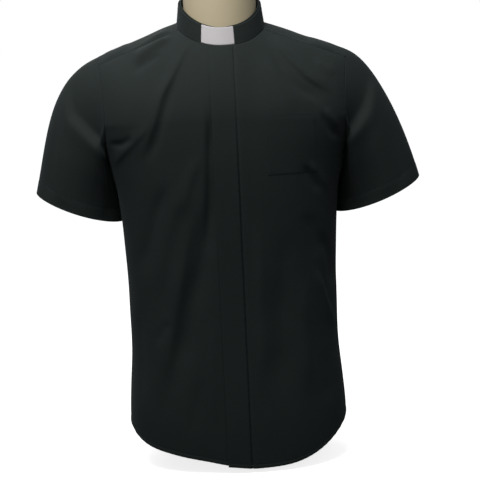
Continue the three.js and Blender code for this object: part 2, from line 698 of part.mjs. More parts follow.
// The shirt's shoulders drawn in, at a height above the chest
function formRing(z) {
  const narrow = (x) => {
    const across = Math.min(Math.abs(x) / FORM_SHOULDER.x, 1);
    return (1 - across ** BODY_SQUARENESS) ** (1 / BODY_SQUARENESS);
  };
  const section = tableAt(FORM, Math.min(z, CHEST_Z));
  const roof = (x) => ridgeAt(x) - FORM_BELOW_SHIRT - (1 - narrow(x)) * FORM_SHOULDER.drop;
  let width = section.width;
  if (z > CHEST_Z) {
    width = FORM_SHOULDER.x;
    while (roof(width) < z) width -= FORM_SHOULDER.step;
  }
  return range(FORM_COLUMNS).map((j) => {
    const turn = (TURN * j) / FORM_COLUMNS;
    const x = width * Math.sign(Math.sin(turn)) * Math.abs(Math.sin(turn)) ** (2 / BODY_SQUARENESS);
    const facing = Math.cos(turn) > 0 ? FRONT : BACK;
    const depth = facing === FRONT ? section.front : section.back;
    const round = Math.abs(Math.cos(turn)) ** (2 / BODY_SQUARENESS);
    if (z <= CHEST_Z) return new THREE.Vector3(x, facing * depth * round, z);
    const rise = clamp((z - CHEST_Z) / (roof(x) - CHEST_Z), 0, 1);
    const inwards = (1 - rise ** SHOULDER_ROUNDNESS) ** (1 / SHOULDER_ROUNDNESS);
    const flat = facing * depth * narrow(x);
    return new THREE.Vector3(x, RIDGE.y + (flat - RIDGE.y) * inwards, z);
  });
}

function neckRing({ z, width, depth }) {
  return range(FORM_COLUMNS).map((j) => {
    const turn = (TURN * j) / FORM_COLUMNS;
    return new THREE.Vector3(width * Math.sin(turn), NECKLINE.y - depth * Math.cos(turn), z);
  });
}

const wasm = await Module();
wasm.setup();

function manifoldOf(geometry) {
  const merged = mergeVertices(geometry, MERGE_DISTANCE);
  const vertProperties = merged.attributes.position.array;
  const triVerts = new Uint32Array(merged.index.array);
  return new wasm.Manifold(new wasm.Mesh({ numProp: 3, vertProperties, triVerts }));
}

// Torso with rounded shoulder ends, joined with the neck
function formTorso() {
  const levels = [...FORM.map(({ z }) => z), ...SHOULDER_RINGS];
  const torso = manifoldOf(stacked(levels.map((z) => formRing(z))));
  const neck = manifoldOf(stacked(FORM_NECK.map((ring) => neckRing(ring))));
  const { vertProperties, triVerts } = torso.add(neck).getMesh();
  const geometry = new THREE.BufferGeometry();
  geometry.setAttribute('position', new THREE.BufferAttribute(vertProperties, 3));
  geometry.setIndex(Array.from(triVerts));
  return geometry;
}

function formPole() {
  const length = FORM[0].z - BASE.thickness - 2 * SEAM_GAP;
  const geometry = new THREE.CylinderGeometry(POLE.radius, POLE.radius, length, POLE.sides);
  geometry.rotateX(Math.PI / 2);
  geometry.translate(0, 0, BASE.thickness + SEAM_GAP + length / 2);
  return geometry;
}

function formBase() {
  const { radius, thickness, edge, sides } = BASE;
  const profile = [
    new THREE.Vector2(0, 0),
    new THREE.Vector2(radius, 0),
    new THREE.Vector2(radius, thickness - edge),
    new THREE.Vector2(radius - edge, thickness),
    new THREE.Vector2(0, thickness),
  ];
  const geometry = new THREE.LatheGeometry(profile, sides);
  geometry.rotateX(Math.PI / 2);
  return geometry;
}

// Materials
const blackPoplin = new THREE.MeshStandardMaterial({ color: 0x20272a, roughness: 0.85, metalness: 0 });
const whiteTab = new THREE.MeshStandardMaterial({ color: 0xe4e2e4, roughness: 0.45, metalness: 0 });
const paleForm = new THREE.MeshStandardMaterial({ color: 0xcbbd9f, roughness: 0.6, metalness: 0 });
const paintedSteel = new THREE.MeshStandardMaterial({ color: 0xd8d6d0, roughness: 0.4, metalness: 0.2 });

const group = new THREE.Group();
function add(name, geometry, material) {
  const mesh = new THREE.Mesh(geometry, material);
  mesh.name = name;
  group.add(mesh);
}

add('front_right', wall(frontRight()), blackPoplin);
add('front_left', wall(frontLeft()), blackPoplin);
add('fly_band', wall(flyBand()), blackPoplin);
add('back', wall(back()), blackPoplin);
add('yoke', wall(yoke()), blackPoplin);
add('sleeve_right', wall(mirrored(sleeve(SLEEVE.reach.right)), CLOTH, true), blackPoplin);
add('sleeve_left', wall(sleeve(SLEEVE.reach.left), CLOTH, true), blackPoplin);
add('collar_stand', wall(collarStand(), COLLAR_CLOTH), blackPoplin);
add('collar_band', wall(collarBand(), COLLAR_CLOTH), blackPoplin);
add('collar_tab', wall(collarTab(), TAB_THICKNESS), whiteTab);
add('chest_pocket', wall(pocket(), POCKET.cloth), blackPoplin);
add('form_torso', formTorso(), paleForm);
add('form_pole', formPole(), paintedSteel);
add('form_base', formBase(), paintedSteel);

export default group;
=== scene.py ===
# A short-sleeved clergy shirt on a limbless display form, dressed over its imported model.
# Shapes are worked out in the part's own millimetres and made in metres. The front faces -Y.
import math

import bpy
import numpy as np
from mathutils import Matrix, Vector


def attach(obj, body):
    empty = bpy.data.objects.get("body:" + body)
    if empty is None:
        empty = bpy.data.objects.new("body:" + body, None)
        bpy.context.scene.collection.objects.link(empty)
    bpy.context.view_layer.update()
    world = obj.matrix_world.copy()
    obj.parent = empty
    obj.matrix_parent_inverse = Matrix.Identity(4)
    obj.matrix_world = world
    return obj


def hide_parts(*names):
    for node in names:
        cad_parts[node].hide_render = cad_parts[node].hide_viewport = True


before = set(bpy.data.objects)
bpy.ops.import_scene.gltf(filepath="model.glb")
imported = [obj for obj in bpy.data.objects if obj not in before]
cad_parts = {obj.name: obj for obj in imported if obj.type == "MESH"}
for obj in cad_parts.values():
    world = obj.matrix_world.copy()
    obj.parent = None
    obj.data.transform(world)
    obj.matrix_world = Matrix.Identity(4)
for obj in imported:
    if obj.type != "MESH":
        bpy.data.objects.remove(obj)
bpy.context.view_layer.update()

# The view. The photograph was taken from 2.4 m before the shirt at chest height, looking a
# little down, with the camera not quite level and the shirt a little left of the middle.
IMAGE = 480
FOCUS = 1412
LOOK_DOWN = 8.79
UNLEVEL = -2.7
LEFT_OF_MIDDLE = 9.5
CAMERA_AT = (0, -2.4, 0.75)

lens = bpy.data.cameras.new("photograph_view")
lens.sensor_width = 36
lens.lens = lens.sensor_width * FOCUS / IMAGE
lens.shift_x = LEFT_OF_MIDDLE / IMAGE
camera = bpy.data.objects.new("photograph_view", lens)
turn = Matrix.Rotation(math.radians(90 - LOOK_DOWN), 3, "X")
turn = turn @ Matrix.Rotation(math.radians(UNLEVEL), 3, "Z")
camera.rotation_euler = turn.to_euler()
camera.location = CAMERA_AT
bpy.context.scene.collection.objects.link(camera)
bpy.context.scene.camera = camera
bpy.context.scene.view_settings.view_transform = "Standard"


# Studio. A white room lights the shirt evenly. One soft box hangs high to the left of the camera,
# and a weaker one behind lights the shoulders. The floor is matt white paint.
def linear(colour):
    """An sRGB hex colour as linear light, with alpha."""
    parts = [int(colour[i : i + 2], 16) / 255 for i in (1, 3, 5)]
    return (*[p / 12.92 if p <= 0.04045 else ((p + 0.055) / 1.055) ** 2.4 for p in parts], 1)


def node(tree, kind, inputs=None, **settings):
    """Adds a node with its settings, and sets or links its inputs."""
    made = tree.nodes.new(kind)
    for name, value in settings.items():
        setattr(made, name, value)
    for name, value in (inputs or {}).items():
        if isinstance(value, bpy.types.NodeSocket):
            tree.links.new(value, made.inputs[name])
        else:
            made.inputs[name].default_value = value
    return made


def blank_material(name):
    material = bpy.data.materials.new(name)
    material.use_nodes = True
    material.node_tree.nodes.clear()
    return material, material.node_tree


def placed(mesh_or_light, name):
    made = bpy.data.objects.new(name, mesh_or_light)
    bpy.context.scene.collection.objects.link(made)
    return made


def noise(tree, place, scale, detail, roughness=0.5):
    sizes = {"Vector": place, "Scale": scale, "Detail": detail, "Roughness": roughness}
    return node(tree, "ShaderNodeTexNoise", sizes).outputs[0]


def two_tones(tree, share, first, second):
    tones = {0: share, 6: linear(first), 7: linear(second)}
    return node(tree, "ShaderNodeMix", tones, data_type="RGBA").outputs[2]


def lit_or_seen(tree, lit, seen):
    """One shader for light that bounces, and another for what the camera sees."""
    path = node(tree, "ShaderNodeLightPath")
    shaders = {0: path.outputs["Is Camera Ray"], 1: lit.outputs[0], 2: seen.outputs[0]}
    return node(tree, "ShaderNodeMixShader", shaders).outputs[0]


ROOM_LIGHT = 0.26
LAMP_AIM = (0, -0.08, 0.56)
FRONT_LAMP = {"watts": 15.5, "across": 1.0, "away": 1.3, "above": 60, "left": 25}
BEHIND_LAMP = {"watts": 8.5, "across": 1.8, "away": 1.6, "above": 42, "left": 155}
LAMP_COLOUR = (1.0, 0.99, 0.98)
FLOOR_BOUNCE = 0.1
FLOOR_GLOW = 0.84

room = bpy.data.worlds.new("white_room")
room.use_nodes = True
tree = room.node_tree
tree.nodes.clear()
sky = node(tree, "ShaderNodeBackground", {"Color": linear("#f4f7fb"), "Strength": ROOM_LIGHT})
seen = node(tree, "ShaderNodeBackground", {"Color": linear("#ffffff"), "Strength": 1.0})
node(tree, "ShaderNodeOutputWorld", {"Surface": lit_or_seen(tree, sky, seen)})
bpy.context.scene.world = room


def hang_lamp(name, size):
    """A round soft box that faces the chest, so many degrees up and round to the camera's left."""
    lamp = bpy.data.lights.new(name, "AREA")
    lamp.shape = "DISK"
    lamp.energy = size["watts"]
    lamp.size = size["across"]
    lamp.color = LAMP_COLOUR
    turn = Matrix.Rotation(math.radians(-size["left"]), 3, "Z")
    turn = turn @ Matrix.Rotation(math.radians(90 - size["above"]), 3, "X")
    hung = placed(lamp, name)
    hung.rotation_euler = turn.to_euler()
    hung.location = Vector(LAMP_AIM) + turn @ Vector((0, 0, size["away"]))
    hung.visible_camera = False


hang_lamp("front_soft_box", FRONT_LAMP)
hang_lamp("soft_box_behind", BEHIND_LAMP)

paint, tree = blank_material("matt_white_floor_paint")
mottle = node(tree, "ShaderNodeTexNoise", {"Scale": 3.0, "Detail": 4.0})
tint = two_tones(tree, mottle.outputs[0], "#fbfbfa", "#f7f8f8")
matt = node(tree, "ShaderNodeBsdfDiffuse", {"Color": tint})
glow = node(tree, "ShaderNodeEmission", {"Color": tint, "Strength": FLOOR_GLOW})
bright = node(tree, "ShaderNodeAddShader", {0: matt.outputs[0], 1: glow.outputs[0]})
dim = node(tree, "ShaderNodeBsdfDiffuse", {"Color": (FLOOR_BOUNCE, FLOOR_BOUNCE, FLOOR_BOUNCE, 1)})
node(tree, "ShaderNodeOutputMaterial", {"Surface": lit_or_seen(tree, dim, bright)})

FLOOR_REACH = 40
floor_mesh = bpy.data.meshes.new("floor")
corners = [(-FLOOR_REACH, -FLOOR_REACH, 0), (FLOOR_REACH, -FLOOR_REACH, 0)]
corners += [(FLOOR_REACH, FLOOR_REACH, 0), (-FLOOR_REACH, FLOOR_REACH, 0)]
floor_mesh.from_pydata(corners, [], [(0, 1, 2, 3)])
floor_mesh.materials.append(paint)
floor = placed(floor_mesh, "floor")


# Display form. A hollow fibreglass torso with a neck and no arms, cut level at the hips, filled,
# sanded and sprayed in a matt skin colour. It carries the shirt on its shoulders.
MM = 0.001
FRONT = -1
BACK = 1
CHEST_Z = 590
SQUARENESS = 2.6
ROUNDNESS = 1.7
RIDGE_Y = 5
RIDGE_NECK_X = 73.5
RIDGE_NECK_Z = 752
RIDGE_FALL = 0.395
RIDGE_ROUNDING = 40
NECK_MIDDLE_Y = -12
LEFT_DROP = 5.5
ARMPIT_Z = 534
SHARP_EDGE = 55


def ease(t):
    t = np.clip(t, 0, 1)
    return t * t * (3 - 2 * t)


def mix(a, b, t):
    return a + (b - a) * t


def bell(away, width):
    return np.exp(-((away / width) ** 2))


def between_rows(table, z, column):
    """A column of a table at any height, on a smooth curve through its rows."""
    heights, values = table[:, 0], table[:, column]
    slopes = np.gradient(values, heights)
    k = np.clip(np.searchsorted(heights, z, side="right") - 1, 0, len(heights) - 2)
    gap = heights[k + 1] - heights[k]
    t = np.clip((z - heights[k]) / gap, 0, 1)
    bend = t * (1 - t) * gap * ((1 - t) * slopes[k] - t * slopes[k + 1])
    step = values[k + 1] - values[k]
    return values[k] + step * t * t * (3 - 2 * t) + bend


def ridge_at(x):
    """Height of the shoulders' ridge, which is rounded across the neck."""
    outwards = np.hypot(x, RIDGE_ROUNDING) - math.hypot(RIDGE_NECK_X, RIDGE_ROUNDING)
    return RIDGE_NECK_Z - RIDGE_FALL * outwards


def drop_at(x, z):
    """How far the wearer's left shoulder sits lower."""
    return LEFT_DROP * ease(x / 60) * ease((z - ARMPIT_Z) / 130)


def grid_normals(grid, closed=False):
    along = np.roll(grid, -1, 1) - np.roll(grid, 1, 1) if closed else np.gradient(grid, axis=1)
    facing = np.cross(along, np.gradient(grid, axis=0))
    return facing / np.maximum(np.linalg.norm(facing, axis=2, keepdims=True), 1e-9)


def finished_mesh(name, points, faces, material, corner_uvs=None):
    """A mesh in metres from points in millimetres, smooth apart from its sharp edges."""
    mesh = bpy.data.meshes.new(name)
    mesh.from_pydata((points * MM).tolist(), [], faces)
    if corner_uvs is not None:
        layer = mesh.uv_layers.new(name="cut")
        layer.data.foreach_set("uv", (corner_uvs * MM).astype(np.float32).ravel())
    mesh.materials.append(material)
    mesh.shade_smooth()
    mesh.set_sharp_from_angle(angle=math.radians(SHARP_EDGE))
    mesh.validate()
    return placed(mesh, name)


def stacked_rings(name, rings, material):
    """A closed body through rings from its bottom to its top."""
    rows, columns = rings.shape[:2]
    index = np.arange(rows * columns).reshape(rows, columns)
    index = np.hstack([index, index[:, :1]])
    a, b, c, d = index[:-1, :-1], index[:-1, 1:], index[1:, 1:], index[1:, :-1]
    faces = np.stack([a, b, c, d], -1).reshape(-1, 4).tolist()
    faces.append(index[0, :-1][::-1].tolist())
    faces.append(index[-1, :-1].tolist())
    return finished_mesh(name, rings.reshape(-1, 3), faces, material)


def stands_for(piece, replaced):
    """Attaches a piece to the part's one body, and hides the solid it takes over."""
    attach(piece, "root")
    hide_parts(replaced)


def mottled_skin(name, tones, mottle, rough, grain, relief, ior=1.5):
    """A skin whose tone and roughness change in soft patches, over a fine relief. The mottle and
    the grain are a noise's scale and detail, and the relief is a strength and a height."""
    material, tree = blank_material(name)
    place = node(tree, "ShaderNodeTexCoord").outputs["Object"]
    patches = noise(tree, place, *mottle)
    bumps = {"Height": noise(tree, place, *grain), "Strength": relief[0], "Distance": relief[1]}
    limits = {"Value": patches, "To Min": rough[0], "To Max": rough[1]}
    look = {"Base Color": two_tones(tree, patches, *tones), "IOR": ior}
    look["Roughness"] = node(tree, "ShaderNodeMapRange", limits).outputs[0]
    look["Normal"] = node(tree, "ShaderNodeBump", bumps).outputs[0]
    skin = node(tree, "ShaderNodeBsdfPrincipled", look)
    node(tree, "ShaderNodeOutputMaterial", {"Surface": skin.outputs[0]})
    return material


# Height, half-width, front depth and back depth
FORM = np.array([
    [150, 128, 84, 84],
    [156, 136, 91, 90],
    [200, 153, 97, 96],
    [270, 147, 93, 86],
    [340, 142, 93, 80],
    [430, 158, 104, 92],
    [520, 178, 113, 106],
    [590, 186, 112, 108],
], float)
# Height, half-width and half-depth, from inside the shoulders up to the neck's rounded rim
FORM_NECK = np.array([
    [640, 61, 57],
    [700, 61, 57],
    [762, 61, 57],
    [785, 60.5, 56],
    [802, 60, 55.5],
    [807, 59.2, 54.7],
    [810, 57.6, 53.1],
    [812.4, 55, 50.5],
    [813.6, 52, 47.5],
    [814, 48, 43.5],
    [814, 30, 27],
    [814, 10, 9],
], float)
FORM_SHOULDER_X = 196
FORM_COLUMNS = 120
FORM_BELOW_SHIRT = 3.25
FORM_SHOULDER_DROP = 16

around = np.linspace(0, 2 * math.pi, FORM_COLUMNS, endpoint=False)


def form_ring(z):
    def narrow(x):
        return (1 - np.clip(abs(x) / FORM_SHOULDER_X, 0, 1) ** SQUARENESS) ** (1 / SQUARENESS)

    def roof(x):
        return ridge_at(x) - FORM_BELOW_SHIRT - (1 - narrow(x)) * FORM_SHOULDER_DROP

    level = min(z, CHEST_Z)
    front, back = between_rows(FORM, level, 2), between_rows(FORM, level, 3)
    widths = np.linspace(FORM_SHOULDER_X, 0, 4000)
    width = between_rows(FORM, level, 1) if z <= CHEST_Z else widths[np.argmax(roof(widths) >= z)]
    x = width * np.sign(np.sin(around)) * np.abs(np.sin(around)) ** (2 / SQUARENESS)
    facing = np.where(np.cos(around) > 0, FRONT, BACK)
    depth = np.where(facing == FRONT, front, back)
    if z <= CHEST_Z:
        y = facing * depth * np.abs(np.cos(around)) ** (2 / SQUARENESS)
    else:
        rise = np.clip((z - CHEST_Z) / (roof(x) - CHEST_Z), 0, 1)
        inwards = (1 - rise**ROUNDNESS) ** (1 / ROUNDNESS)
        y = RIDGE_Y + (facing * depth * narrow(x) - RIDGE_Y) * inwards
    return np.stack([x, y, z - drop_at(x, z)], -1)


body_heights = [150, 151.5, 154, 158, *range(165, 590, 14), 590]
shoulder_heights = [*range(600, 730, 8), 732, 736, 740, 744, 747]
torso_rings = np.array([form_ring(float(z)) for z in body_heights + shoulder_heights])
neck_rings = np.array([
    np.stack([w * np.sin(around), NECK_MIDDLE_Y - d * np.cos(around), np.full_like(around, z)], -1)
    for z, w, d in FORM_NECK
])

# Fibreglass filled, sanded and sprayed: an even matt skin with a faint mottle and orange peel
form_paint = mottled_skin(
    "sprayed_fibreglass",
    tones=("#c6b896", "#cfc2a4"),
    mottle=(14.0, 5.0),
    rough=(0.55, 0.68),
    grain=(420.0, 2.0),
    relief=(0.25, 0.0002),
)

torso = stacked_rings("display_form", torso_rings, form_paint)
neck = stacked_rings("form_neck", neck_rings, form_paint)
with bpy.context.temp_override(active_object=torso, selected_editable_objects=[torso, neck]):
    bpy.ops.object.join()
stands_for(torso, "form_torso")

# Stand. A steel tube stands in a turned steel plate and goes up into the form's hip cut; both
# are powder coated. The plate's upper edge is rounded, and a collar is welded round the tube.
PLATE_RADIUS = 68
PLATE_THICKNESS = 8
PLATE_ROUNDING = 2
TUBE_RADIUS = 16
TUBE_TOP = 149.7
STAND_COLUMNS = 96


def turned(profile):
    """Rings round the upright axis, from points of radius and height."""
    circle = np.linspace(0, 2 * math.pi, STAND_COLUMNS, endpoint=False)
    across, deep = np.sin(circle), -np.cos(circle)
    return np.array([np.stack([r * across, r * deep, np.full_like(circle, z)], -1) for r, z in profile])


# Powder coating: a warm pale grey with a half-gloss skin and a fine, even orange peel
stand_paint = mottled_skin(
    "powder_coated_steel",
    tones=("#d2d0ca", "#dbd9d4"),
    mottle=(20.0, 3.0),
    rough=(0.38, 0.48),
    grain=(900.0, 2.0),
    relief=(0.3, 0.0001),
)

bend = np.radians(np.linspace(0, 90, 7))
middle = (PLATE_RADIUS - PLATE_ROUNDING, PLATE_THICKNESS - PLATE_ROUNDING)
rim = [(middle[0] + PLATE_ROUNDING * math.cos(a), middle[1] + PLATE_ROUNDING * math.sin(a)) for a in bend]
plate_profile = [(4, 0), (PLATE_RADIUS - 1, 0), (PLATE_RADIUS, 1), *rim, (30, PLATE_THICKNESS)]
collar_profile = [(26, PLATE_THICKNESS), (20.5, 8.6), (17.8, 10.4), (16.6, 13), (4, 13)]
plate = stacked_rings("stand_plate", turned(plate_profile + collar_profile), stand_paint)
stands_for(plate, "form_base")

tube_profile = [(TUBE_RADIUS - 0.6, 8.3), (TUBE_RADIUS, 9), (TUBE_RADIUS, TUBE_TOP)]
tube = stacked_rings("stand_tube", turned(tube_profile), stand_paint)
stands_for(tube, "form_pole")

# Right front, on the viewer's left. One piece of black poplin from the yoke to the curved hem,
# sewn to the yoke, sleeve and back with felled seams. Its centre edge runs under the closing.
HEM_Z = 8
HEM_DEPTH = 6.5
BODY_DEPTH = 125
SHOULDER_TIP_X = 209
CLOTH = 1.0
# Height, half-width, front depth and back depth of the worn shirt
BODY = np.array([
    [0, 186, 118, 116],
    [90, 187, 117, 115],
    [140, 183.5, 115, 112],
    [200, 179, 113, 107],
    [280, 178, 112, 103],
    [350, 179.5, 114, 104],
    [430, 183.5, 119, 110],
    [490, 191, 123, 115],
    [534, 201.5, 125, 118],
    [562, 213, 125, 119],
    [590, 224, 124, 119],
], float)
NECK_WIDTH = 73.5
NECK_DEPTH = 67.5
FLY_SEAM_X = 19.2
FLY_EDGE_X = -21
UNDERLAP_X = 14
ARM_ROWS = 9
CENTRE_ROWS = 5
YOKE_FRONT_NECK_Y = -34
YOKE_FRONT_ARM_Z = 688
YOKE_BACK_Z = 676
YOKE_BACK_ARM_Z = 664
# What the hem rises by evenly from the closing to the side seam, what it turns up by on top of
# that, and how late it turns up
HEM_RIGHT = (41.5, 27, 12)
HEM_LEFT = (0, 66, 3.2)


def depth_at(x, z, facing):
    level = np.minimum(z, CHEST_Z)
    across = np.clip(np.abs(x) / between_rows(BODY, level, 1), 0, 1)
    before, behind = between_rows(BODY, level, 2), between_rows(BODY, level, 3)
    reach = np.where(np.asarray(facing) == FRONT, before, behind)
    return facing * reach * (1 - across**SQUARENESS) ** (1 / SQUARENESS)


def level_of_height(x, z):
    """Level of the wall at a height: 0 at the chest and 1 on the shoulders' ridge."""
    rise = (z - CHEST_Z) / (ridge_at(x) - CHEST_Z)
    return np.where(rise < 0, rise / ROUNDNESS, 1 - (1 - np.clip(rise, 0, 1)) ** (1 / ROUNDNESS))


def spots(x, y, z):
    return np.stack(np.broadcast_arrays(x, y, z), -1)


def body_point(x, level, facing):
    rise = np.where(level < 0, ROUNDNESS * level, 1 - (1 - np.clip(level, 0, 1)) ** ROUNDNESS)
    z = CHEST_Z + (ridge_at(x) - CHEST_Z) * rise
    depth = depth_at(x, z, facing)
    inwards = (1 - np.clip(rise, 0, 1) ** ROUNDNESS) ** (1 / ROUNDNESS)
    y = np.where(rise <= 0, depth, RIDGE_Y + (depth - RIDGE_Y) * inwards)
    return spots(x, y, z)


def shoulder_point(x, y):
    facing = np.where(y < RIDGE_Y, FRONT, BACK)
    part = np.clip((y - RIDGE_Y) / (depth_at(x, CHEST_Z, facing) - RIDGE_Y), 0, 1)
    rise = (1 - part**ROUNDNESS) ** (1 / ROUNDNESS)
    return spots(x, y, CHEST_Z + (ridge_at(x) - CHEST_Z) * rise)


def neck_point(angle):
    return shoulder_point(NECK_WIDTH * np.sin(angle), NECK_MIDDLE_Y - NECK_DEPTH * np.cos(angle))


ARM_TOP_Z = float(ridge_at(SHOULDER_TIP_X))
ARMPIT_X = float(between_rows(BODY, ARMPIT_Z, 1))
ARM_HOLLOW = 5


def arm_point(angle, facing):
    """Point of the armhole's seam, from the armpit at 0 to the shoulder tip at pi."""
    part = (1 - np.cos(angle)) / 2
    z = mix(ARMPIT_Z, ARM_TOP_Z, part)
    x = mix(ARMPIT_X, SHOULDER_TIP_X, part * part) - ARM_HOLLOW * np.sin(math.pi * part)
    return body_point(x, np.minimum(level_of_height(x, z), 1), facing)


def arm_angle(z):
    return math.acos(1 - 2 * (z - ARMPIT_Z) / (ARM_TOP_Z - ARMPIT_Z))


YOKE_FRONT_ARM = arm_angle(YOKE_FRONT_ARM_Z)
YOKE_BACK_ARM = arm_angle(YOKE_BACK_ARM_Z)
YOKE_NECK_ANGLE = math.acos((NECK_MIDDLE_Y - YOKE_FRONT_NECK_Y) / NECK_DEPTH)


def steps_over(length, step, fine=1.0, edge=10):
    """Shares from 0 to 1 along a length: fine steps inside both edges, and wider ones between."""
    near = np.arange(0, edge, fine)
    middle = np.linspace(edge, length - edge, max(round((length - 2 * edge) / step), 2))
    return np.concatenate([near, middle, length - near[::-1]]) / length


def shares_round(runs):
    """Shares of the half-width, for shares of the way round from the centre to the side seam."""
    turn = np.linspace(0, math.pi / 2, 4001)
    x = np.sin(turn) ** (2 / SQUARENESS)
    y = BODY_DEPTH / ARMPIT_X * np.cos(turn) ** (2 / SQUARENESS)
    run = np.concatenate([[0], np.cumsum(np.hypot(np.diff(x), np.diff(y)))])
    return np.interp(runs, run / run[-1], x)


HALF_ROUND = 272
BELOW_ARMPIT = 520
NECK_EDGE = -4

half_shares = shares_round(steps_over(HALF_ROUND, 3.0))
lower_steps = np.concatenate([np.arange(0, 12, 1.0), np.linspace(12, BELOW_ARMPIT, 160)[:-1]])
lower_steps = lower_steps / BELOW_ARMPIT
upper_steps = [np.linspace(0, 5, 52)[:-1], np.linspace(5, 8.5, 25)[:-1], np.linspace(8.5, 9, 11)]
upper_steps = np.concatenate(upper_steps)


def upper_front(row, edge, share):
    """Points of a front above the armpit, where row 5 meets the neckline and row 9 the yoke."""
    arm = arm_point(YOKE_FRONT_ARM * row / ARM_ROWS, FRONT)
    top_edge = max(edge, NECK_EDGE)
    start = math.asin(top_edge / NECK_WIDTH)
    edge = mix(edge, top_edge, np.clip(row / CENTRE_ROWS, 0, 1))
    part = np.clip((row - CENTRE_ROWS) / (ARM_ROWS - CENTRE_ROWS), 0, 1)
    neck = neck_point(mix(start, YOKE_NECK_ANGLE, part))
    low, high = level_of_height(edge, ARMPIT_Z), level_of_height(edge, neck_point(start)[2])
    centre = mix(low, high, np.clip(row / CENTRE_ROWS, 0, 1))
    below = row <= CENTRE_ROWS
    near_x = np.where(below, edge, neck[..., 0])
    near_level = np.where(below, centre, level_of_height(neck[..., 0], neck[..., 2]))
    arm_level = level_of_height(arm[..., 0], arm[..., 2])
    level = mix(near_level, arm_level, share ** (2 - part))
    return body_point(mix(near_x, arm[..., 0], share), level, FRONT)


def front_grid(edge, hem):
    share = half_shares[None, :]
    top = upper_front(upper_steps[:, None], edge, share)
    slope, turn_up, late = hem
    foot = HEM_Z + slope * share + turn_up * share**late
    z = mix(foot, top[:1, :, 2], lower_steps[:, None])
    x = mix(edge, between_rows(BODY, z, 1), share)
    low = spots(x, depth_at(x, z, FRONT), z)
    return np.concatenate([low, top])


def edge_distances(grid):
    """Distances along the cloth from its lower, upper, first and last edges."""
    rise = np.cumsum(np.linalg.norm(np.diff(grid, axis=0), axis=2), axis=0)
    rise = np.vstack([np.zeros((1, grid.shape[1])), rise])
    run = np.cumsum(np.linalg.norm(np.diff(grid, axis=1), axis=2), axis=1)
    run = np.hstack([np.zeros((grid.shape[0], 1)), run])
    return rise, rise[-1:] - rise, run, run[:, -1:] - run


def smooth_line(points, count=8):
    """A line through points, rounded at each of them."""
    points = np.asarray(points, float)
    padded = np.vstack([2 * points[0] - points[1], points, 2 * points[-1] - points[-2]])
    t = np.linspace(0, 1, count, endpoint=False)[:, None]
    parts = []
    for a, b, c, d in zip(padded, padded[1:], padded[2:], padded[3:]):
        curved = (2 * a - 5 * b + 4 * c - d) * t**2 / 2
        parts.append(b + (c - a) * t / 2 + curved + (3 * b - a - 3 * c + d) * t**3 / 2)
    return np.vstack([*parts, points[-1:]])


def crease(x, z, points, width, height, lean=0.0):
    """Soft uneven ridge or trough along a line of (x, z) points, dying away at both ends. A lean
    above 0 makes it steeper on the viewer's right of a line that goes down."""
    line = smooth_line(points)
    nearest = np.full(x.shape, 1e9)
    along = np.zeros(x.shape)
    right = np.zeros(x.shape)
    run = 0.0
    for (x1, z1), (x2, z2) in zip(line, line[1:]):
        dx, dz = x2 - x1, z2 - z1
        long = math.hypot(dx, dz)
        held = np.clip(((x - x1) * dx + (z - z1) * dz) / long, 0, long)
        away = np.hypot(x - x1 - held * dx / long, z - z1 - held * dz / long)
        closer = away < nearest
        nearest = np.where(closer, away, nearest)
        right = np.where(closer, (dx * (z - z1) - dz * (x - x1)) / long, right)
        along = np.where(closer, run + held, along)
        run += long
    fade = ease(along / run * 3.2) * ease((1 - along / run) * 3.2)
    uneven = 0.88 + 0.12 * np.sin(along / 17 + width)
    spread = width * (0.8 + 0.4 * along / run) * (1 - lean * np.tanh(right / 3))
    return height * fade * uneven * bell(nearest, spread)


def creases(table, x, z):
    return sum(crease(x, z, *row) for row in table)


def ripples(x, z, phase):
    """Faint slack in the hanging cloth: long upright waves that wander a little."""
    wander = 9 * np.sin(z / 83 + phase) + 4 * np.sin(z / 37 + 2 * phase)
    broad = np.sin((x + wander) / 15.5 + phase)
    narrow = np.sin((x - wander) / 8.3 + 1.7 * phase) * np.sin(z / 61 + phase)
    return 0.55 * broad + 0.22 * narrow + 0.25 * np.sin(z / 21 + x / 33 + phase)


def hem_fold(distance, depth):
    """A turned hem: its extra layers stand a little proud up to the stitch line's groove."""
    return 0.45 * (1 - ease((distance - depth + 1.5) / 3)) - 0.5 * bell(distance - depth, 1.1)


def seam_roll(distance, depth=0.5):
    """The cloth's edge rolls into a seam."""
    return -depth * bell(distance, 1.2)


def felled(distance, width=6.5):
    """A felled seam: a flat ridge of folded layers beside the seam, held by a stitch row."""
    return 0.4 * (1 - ease((distance - width) / 2)) - 0.3 * bell(distance - width + 1, 1)


def puckers(along, distance, pitch=9, height=0.28):
    """Small gathers that a row of stitches draws into the cloth beside it."""
    wave = np.sin(2 * math.pi * along / pitch + 1.3 * np.sin(along / 23))
    return height * wave * bell(distance, 7)


def sewn_edges(x, z, low, high, side):
    """What the hem, the side seam and the upper seam do to a panel, with the gathers beside them."""
    gathers = puckers(x, low) + puckers(z, side, 11, 0.22) * ease(high / 30)
    return gathers + hem_fold(low, HEM_DEPTH) + seam_roll(side) + seam_roll(high, 0.2)


def wrapped(grid):
    """A closed grid with its first column again at its end."""
    return np.concatenate([grid, grid[:, :1]], axis=1)


